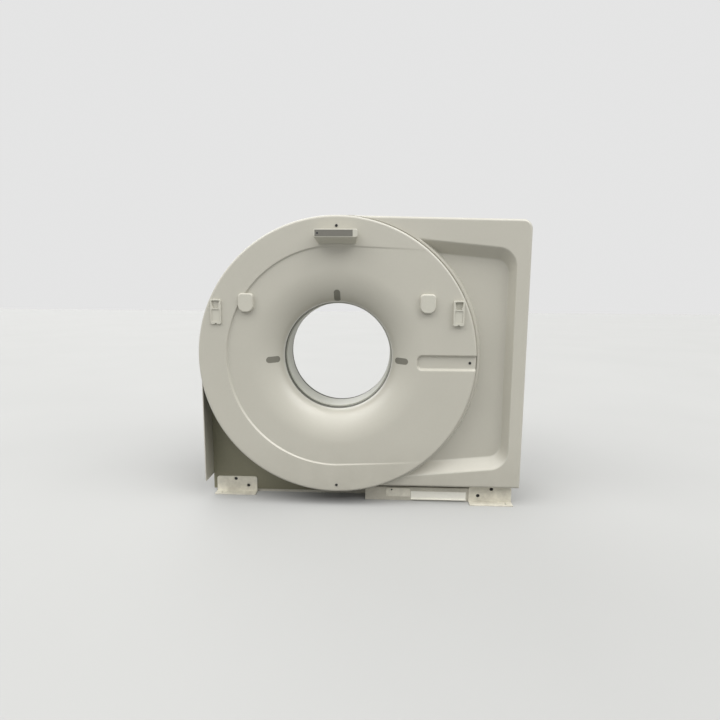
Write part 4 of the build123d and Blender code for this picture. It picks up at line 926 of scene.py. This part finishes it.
@dataclass
class WingCover:
    """The wing's front: a bowl whose collar rises round the disc, and a rolled outer edge.

    Sizes are in metres, heights count from the bore's axis and depths from the scan plane.
    Crest is the radius at which the collar's slope starts, collar_bevel its width, and
    collar_share how many such widths the evenly spaced points cover. The bowl narrows to the
    right: its top and foot both slope by bowl_slope, and lie at bowl_top and bowl_foot where x
    is bowl_line.
    """

    face: float = -0.235
    back: float = -0.120
    wall: float = 0.006
    hole: float = 0.906
    crest: float = 0.918
    collar_bevel: float = 0.024
    collar_blend: float = 0.12
    collar_share: float = 1.3
    depth: float = 0.070
    bevel: float = 0.082
    side_bevel: float = 0.043
    bevel_round: float = 0.16
    edge: float = 0.018
    hole_edge: float = 0.004
    body_radius: float = 0.907
    right: float = 1.225
    bottom: float = -0.874
    fall: float = 0.0205
    corner: float = 0.060
    left: float = 0.110
    foot_left: float = 0.262
    bowl_right: float = 1.140
    bowl_corner: float = 0.115
    bowl_line: float = 0.540
    bowl_top: float = 0.764
    bowl_foot: float = -0.800
    bowl_slope: float = 0.1
    top_points: int = 110
    corner_points: int = 24
    side_points: int = 190
    foot_points: int = 120
    collar_points: int = 24
    face_samples: int = 700
    front_points: int = 76
    inside_points: int = 24
    bend_care: float = 1.5

    def top(self, x: float) -> float:
        """Height of the top edge, which slopes down from the round of the body.

        Args:
            x: how far right the place is.

        Returns:
            The height over the bore's axis.
        """
        lean = math.atan(self.fall)
        past = x - self.body_radius * math.sin(lean)
        return self.body_radius * math.cos(lean) - past * self.fall

    def outline(self, inset: float) -> np.ndarray:
        """Outer edge from the top left round to the bottom left.

        Args:
            inset: how far it is drawn in.

        Returns:
            Points of shape (count, 2), always as many and in step for every inset.
        """
        lean = math.atan(self.fall)
        radius = self.corner - inset
        right, bottom = self.right - inset, self.bottom + inset
        centre_x = self.right - self.corner
        centre_z = self.top(self.right) + self.corner * (math.tan(lean) - 1 / math.cos(lean))
        angle = QUARTER_TURN - lean - np.linspace(0, QUARTER_TURN - lean, self.corner_points)
        bend = np.stack([centre_x + radius * np.cos(angle), centre_z + radius * np.sin(angle)], -1)
        top_x = np.linspace(self.left, bend[0, 0], self.top_points)
        slope = self.top(1.0) - self.top(0.0)
        top_line = np.stack([top_x, self.top(0.0) - inset / math.cos(lean) + slope * top_x], -1)
        down = np.linspace(bend[-1, 1], bottom, self.side_points)
        side = np.stack([np.full(len(down), right), down], -1)
        foot_x = np.linspace(right, self.foot_left, self.foot_points)
        foot = np.stack([foot_x, np.full(len(foot_x), bottom)], -1)
        return np.concatenate([top_line[:-1], bend, side[1:], foot[1:]])

    def edge_distance(self, x: np.ndarray, z: np.ndarray) -> np.ndarray:
        """How far points lie inside the outer edge.

        Args:
            x: how far right each point is.
            z: its height over the bore's axis.

        Returns:
            The distances, negative outside.
        """
        lean = math.atan(self.fall)
        up = (self.top(0.0) - self.fall * x - z) * math.cos(lean)
        across = self.right - x
        near_corner = (up < self.corner) & (across < self.corner)
        rounded = self.corner - np.hypot(self.corner - up, self.corner - across)
        straight = np.minimum(np.minimum(up, across), z - self.bottom)
        return np.where(near_corner, rounded, straight)

    def bowl_distance(self, x: np.ndarray, z: np.ndarray, share: float) -> np.ndarray:
        """How far points lie inside the bowl's outline.

        Args:
            x: how far right each point is.
            z: its height over the bore's axis.
            share: 0 takes the outline at the cover's face, 1 the one at the bowl's floor.

        Returns:
            The distances, negative outside.
        """
        near = (x - self.bowl_line) * self.bowl_slope
        flat = math.hypot(1, self.bowl_slope)
        from_top = (self.bowl_top - near - z) / flat - share * self.bevel
        from_foot = (z - self.bowl_foot - near) / flat - share * self.bevel
        closest = np.minimum(from_top, from_foot)
        across = self.bowl_right - share * self.side_bevel - x
        corner = self.bowl_corner - share * self.side_bevel
        in_corner = (closest < corner) & (across < corner)
        rounded = corner - np.hypot(corner - closest, corner - across)
        return np.where(in_corner, rounded, np.minimum(closest, across))

    def surface(self, x: np.ndarray, z: np.ndarray) -> np.ndarray:
        """Depth of the front surface.

        Args:
            x: how far right each point is.
            z: its height over the bore's axis.

        Returns:
            The depths, growing from front to back.
        """
        radius = np.hypot(x, z)
        inside, floor = self.bowl_distance(x, z, 0.0), self.bowl_distance(x, z, 1.0)
        collar = (radius - self.crest) / self.collar_bevel
        share = soft_min(inside / (inside - floor), collar, self.collar_blend)
        outer = rolled(self.edge_distance(x, z), self.edge)
        lipped = rolled(radius - self.hole, self.hole_edge)
        return self.face + self.depth * self.bevel_shape(share) + outer + lipped

    def bevel_shape(self, share: np.ndarray) -> np.ndarray:
        """Bevel from 0 to 1 that is mostly straight, with rounded ends.

        Args:
            share: how far across the bevel each point lies.

        Returns:
            How far down it lies.
        """
        soft = self.bevel_round
        held = np.clip(share, 0.0, 1.0)
        low = np.where(held < soft, held * held / (2 * soft), held - soft / 2)
        high = np.where(held > 1 - soft, (held - 1 + soft) ** 2 / (2 * soft), 0.0)
        return (low - high) / (1.0 - soft)

    def strip(self, start: np.ndarray, end: np.ndarray, inset: float, count: int) -> np.ndarray:
        """Surface points along straight lines between two outlines.

        Args:
            start: points of the inner outline.
            end: points of the outer one, in step with them.
            inset: how far the surface is drawn in.
            count: how many points each line has.

        Returns:
            Points of shape (lines, count, 3).
        """
        share = np.linspace(0, 1, count)[None, :, None]
        points = start[:, None] * (1 - share) + end[:, None] * share
        x, z = points[..., 0], points[..., 1]
        y = self.surface(x, z) + inset
        if inset:
            y = np.minimum(y, self.face + self.depth + inset)
        return np.stack([x, y, z + AXIS_HEIGHT], axis=-1)

    def skin(self, inset: float, count: int) -> np.ndarray:
        """One face of the cover, with the collar's points in step on every ray.

        Args:
            inset: how far the face is drawn in.
            count: how many points each ray has beyond the collar.

        Returns:
            Points of shape (rays, samples, 3).
        """
        hole, outer = self.hole + inset, self.outline(inset)
        reach = np.linalg.norm(outer, axis=1, keepdims=True)
        way = outer / reach
        collar_end = self.crest + self.collar_share * self.collar_bevel
        middle = way * np.minimum(collar_end, (hole + reach) / 2)
        collar = self.strip(way * hole, middle, inset, self.collar_points)
        rest = self.strip(middle, outer, inset, self.face_samples)
        return np.concatenate([collar[:, :-1], resample(rest, count, self.bend_care)], axis=1)

    def build(self, wardrobe: Wardrobe) -> bpy.types.Object:
        """Builds the cover's closed shell.

        Args:
            wardrobe: the finishes.

        Returns:
            The finished piece.
        """
        front = self.skin(0.0, self.front_points)
        inside = self.skin(self.wall, self.inside_points)[:, ::-1]
        cover = shell("wing_front", wall_loops(front, inside, self.back, self.back), False)
        wardrobe.dress(cover, "cover_paint")
        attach(cover, "gantry")
        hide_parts("wing_front_cover")
        LOG.info("wing_front: %d faces", len(cover.data.polygons))
        return cover


# Studio


@dataclass(frozen=True)
class Sun:
    """A soft sun: where it shines from, its width in degrees, and its watts per square metre."""

    name: str
    place: Triple
    spread: float
    power: float

    def build(self) -> None:
        """Adds the sun to the scene."""
        light = bpy.data.lights.new(self.name, "SUN")
        light.angle = math.radians(self.spread)
        light.energy = self.power
        lamp = bpy.data.objects.new(self.name, light)
        lamp.rotation_mode = "QUATERNION"
        lamp.rotation_quaternion = (-Vector(self.place)).to_track_quat("-Z", "Y")
        bpy.context.scene.collection.objects.link(lamp)


SUNS = (
    Sun("top", (0.05, -0.12, 1.0), 50.0, 0.9),
    Sun("key_right", (0.6, -0.35, 0.75), 50.0, 2.0),
    Sun("key_left", (-0.6, -0.35, 0.75), 50.0, 1.7),
    Sun("front", (-0.1, -0.8, 0.6), 40.0, 0.45),
    Sun("rear", (-0.6, 1.3, 0.9), 50.0, 0.9),
)


@dataclass
class Studio:
    """Floor, suns, world and camera; the camera stands where the photograph was taken."""

    floor_size: float = 60.0
    floor_height: float = -0.0005
    floor_mottle: Noise = Noise(0.6, 2.0)
    floor_span: tuple[float, float] = (0.3, 0.7)
    floor_pale: Triple = srgb(173, 173, 171)
    floor_dull: Triple = srgb(171, 171, 169)
    floor_bounce: Triple = srgb(136, 136, 133)
    floor_roughness: float = 0.85
    floor_gloss: float = 0.2
    sky: Triple = (0.97, 0.98, 1.0)
    sky_strength: float = 0.44
    backdrop: Triple = (1.0, 1.0, 1.0)
    backdrop_strength: float = 0.78
    lens: float = 25.0
    sensor: float = 36.0
    sight: float = 200.0
    eye: Triple = (0.283, -3.468, 1.440)
    yaw: float = math.radians(-2.35)
    pitch: float = math.radians(8.0)
    roll: float = math.radians(0.37)

    def build(self) -> None:
        """Sets up the whole studio."""
        self.floor()
        for sun in SUNS:
            sun.build()
        self.world()
        self.camera()

    def floor(self) -> None:
        """Plain pale floor, which throws less light back at the object than it shows."""
        place = (0, 0, self.floor_height)
        bpy.ops.mesh.primitive_plane_add(size=self.floor_size, location=place)
        floor = bpy.context.object
        floor.name = "studio_floor"
        surface = Surface("studio_floor")
        mottle = self.floor_mottle.add(surface).span(*self.floor_span)
        seen = surface.blend(mottle, self.floor_pale, self.floor_dull)
        surface.give("Base Color", surface.blend(surface.looked_at(), self.floor_bounce, seen))
        surface.give("Roughness", self.floor_roughness)
        surface.give("Specular IOR Level", self.floor_gloss)
        floor.data.materials.append(surface.material)

    def world(self) -> None:
        """Pale world, and a paler backdrop where a look goes past the object."""
        world = bpy.data.worlds.new("studio")
        bpy.context.scene.world = world
        nodes = Nodes(world)
        kind = "ShaderNodeBackground"
        light = nodes.node(kind, {}, {0: self.sky, 1: self.sky_strength})
        backdrop = nodes.node(kind, {}, {0: self.backdrop, 1: self.backdrop_strength})
        inputs = {0: nodes.looked_at(), 1: light.outputs[0], 2: backdrop.outputs[0]}
        mix = nodes.node("ShaderNodeMixShader", {}, inputs)
        nodes.node("ShaderNodeOutputWorld", {}, {"Surface": mix.outputs[0]})

    def camera(self) -> None:
        """Camera at the photograph's place and angle."""
        data = bpy.data.cameras.new("camera")
        data.lens, data.sensor_width, data.clip_end = self.lens, self.sensor, self.sight
        camera = bpy.data.objects.new("camera", data)
        bpy.context.scene.collection.objects.link(camera)
        camera.location = self.eye
        ahead = math.cos(self.pitch)
        forward = Vector(
            (math.sin(self.yaw) * ahead, math.cos(self.yaw) * ahead, -math.sin(self.pitch))
        )
        level = Vector((math.cos(self.yaw), -math.sin(self.yaw), 0))
        upright = level.cross(forward)
        right = level * math.cos(self.roll) + upright * math.sin(self.roll)
        up = upright * math.cos(self.roll) - level * math.sin(self.roll)
        camera.rotation_mode = "QUATERNION"
        camera.rotation_quaternion = Matrix((right, up, -forward)).transposed().to_quaternion()
        bpy.context.scene.camera = camera


def main() -> None:
    """Dresses the gantry and builds the studio."""
    logging.basicConfig(level=logging.INFO, format="%(name)s: %(message)s")
    bpy.context.scene.view_settings.view_transform = "Standard"
    wardrobe = Wardrobe()
    wardrobe.dress_nodes()
    FrontDisc().build(wardrobe)
    BoreGasket().build(wardrobe)
    WingCover().build(wardrobe)
    Studio().build()


if __name__ == "__main__":
    main()
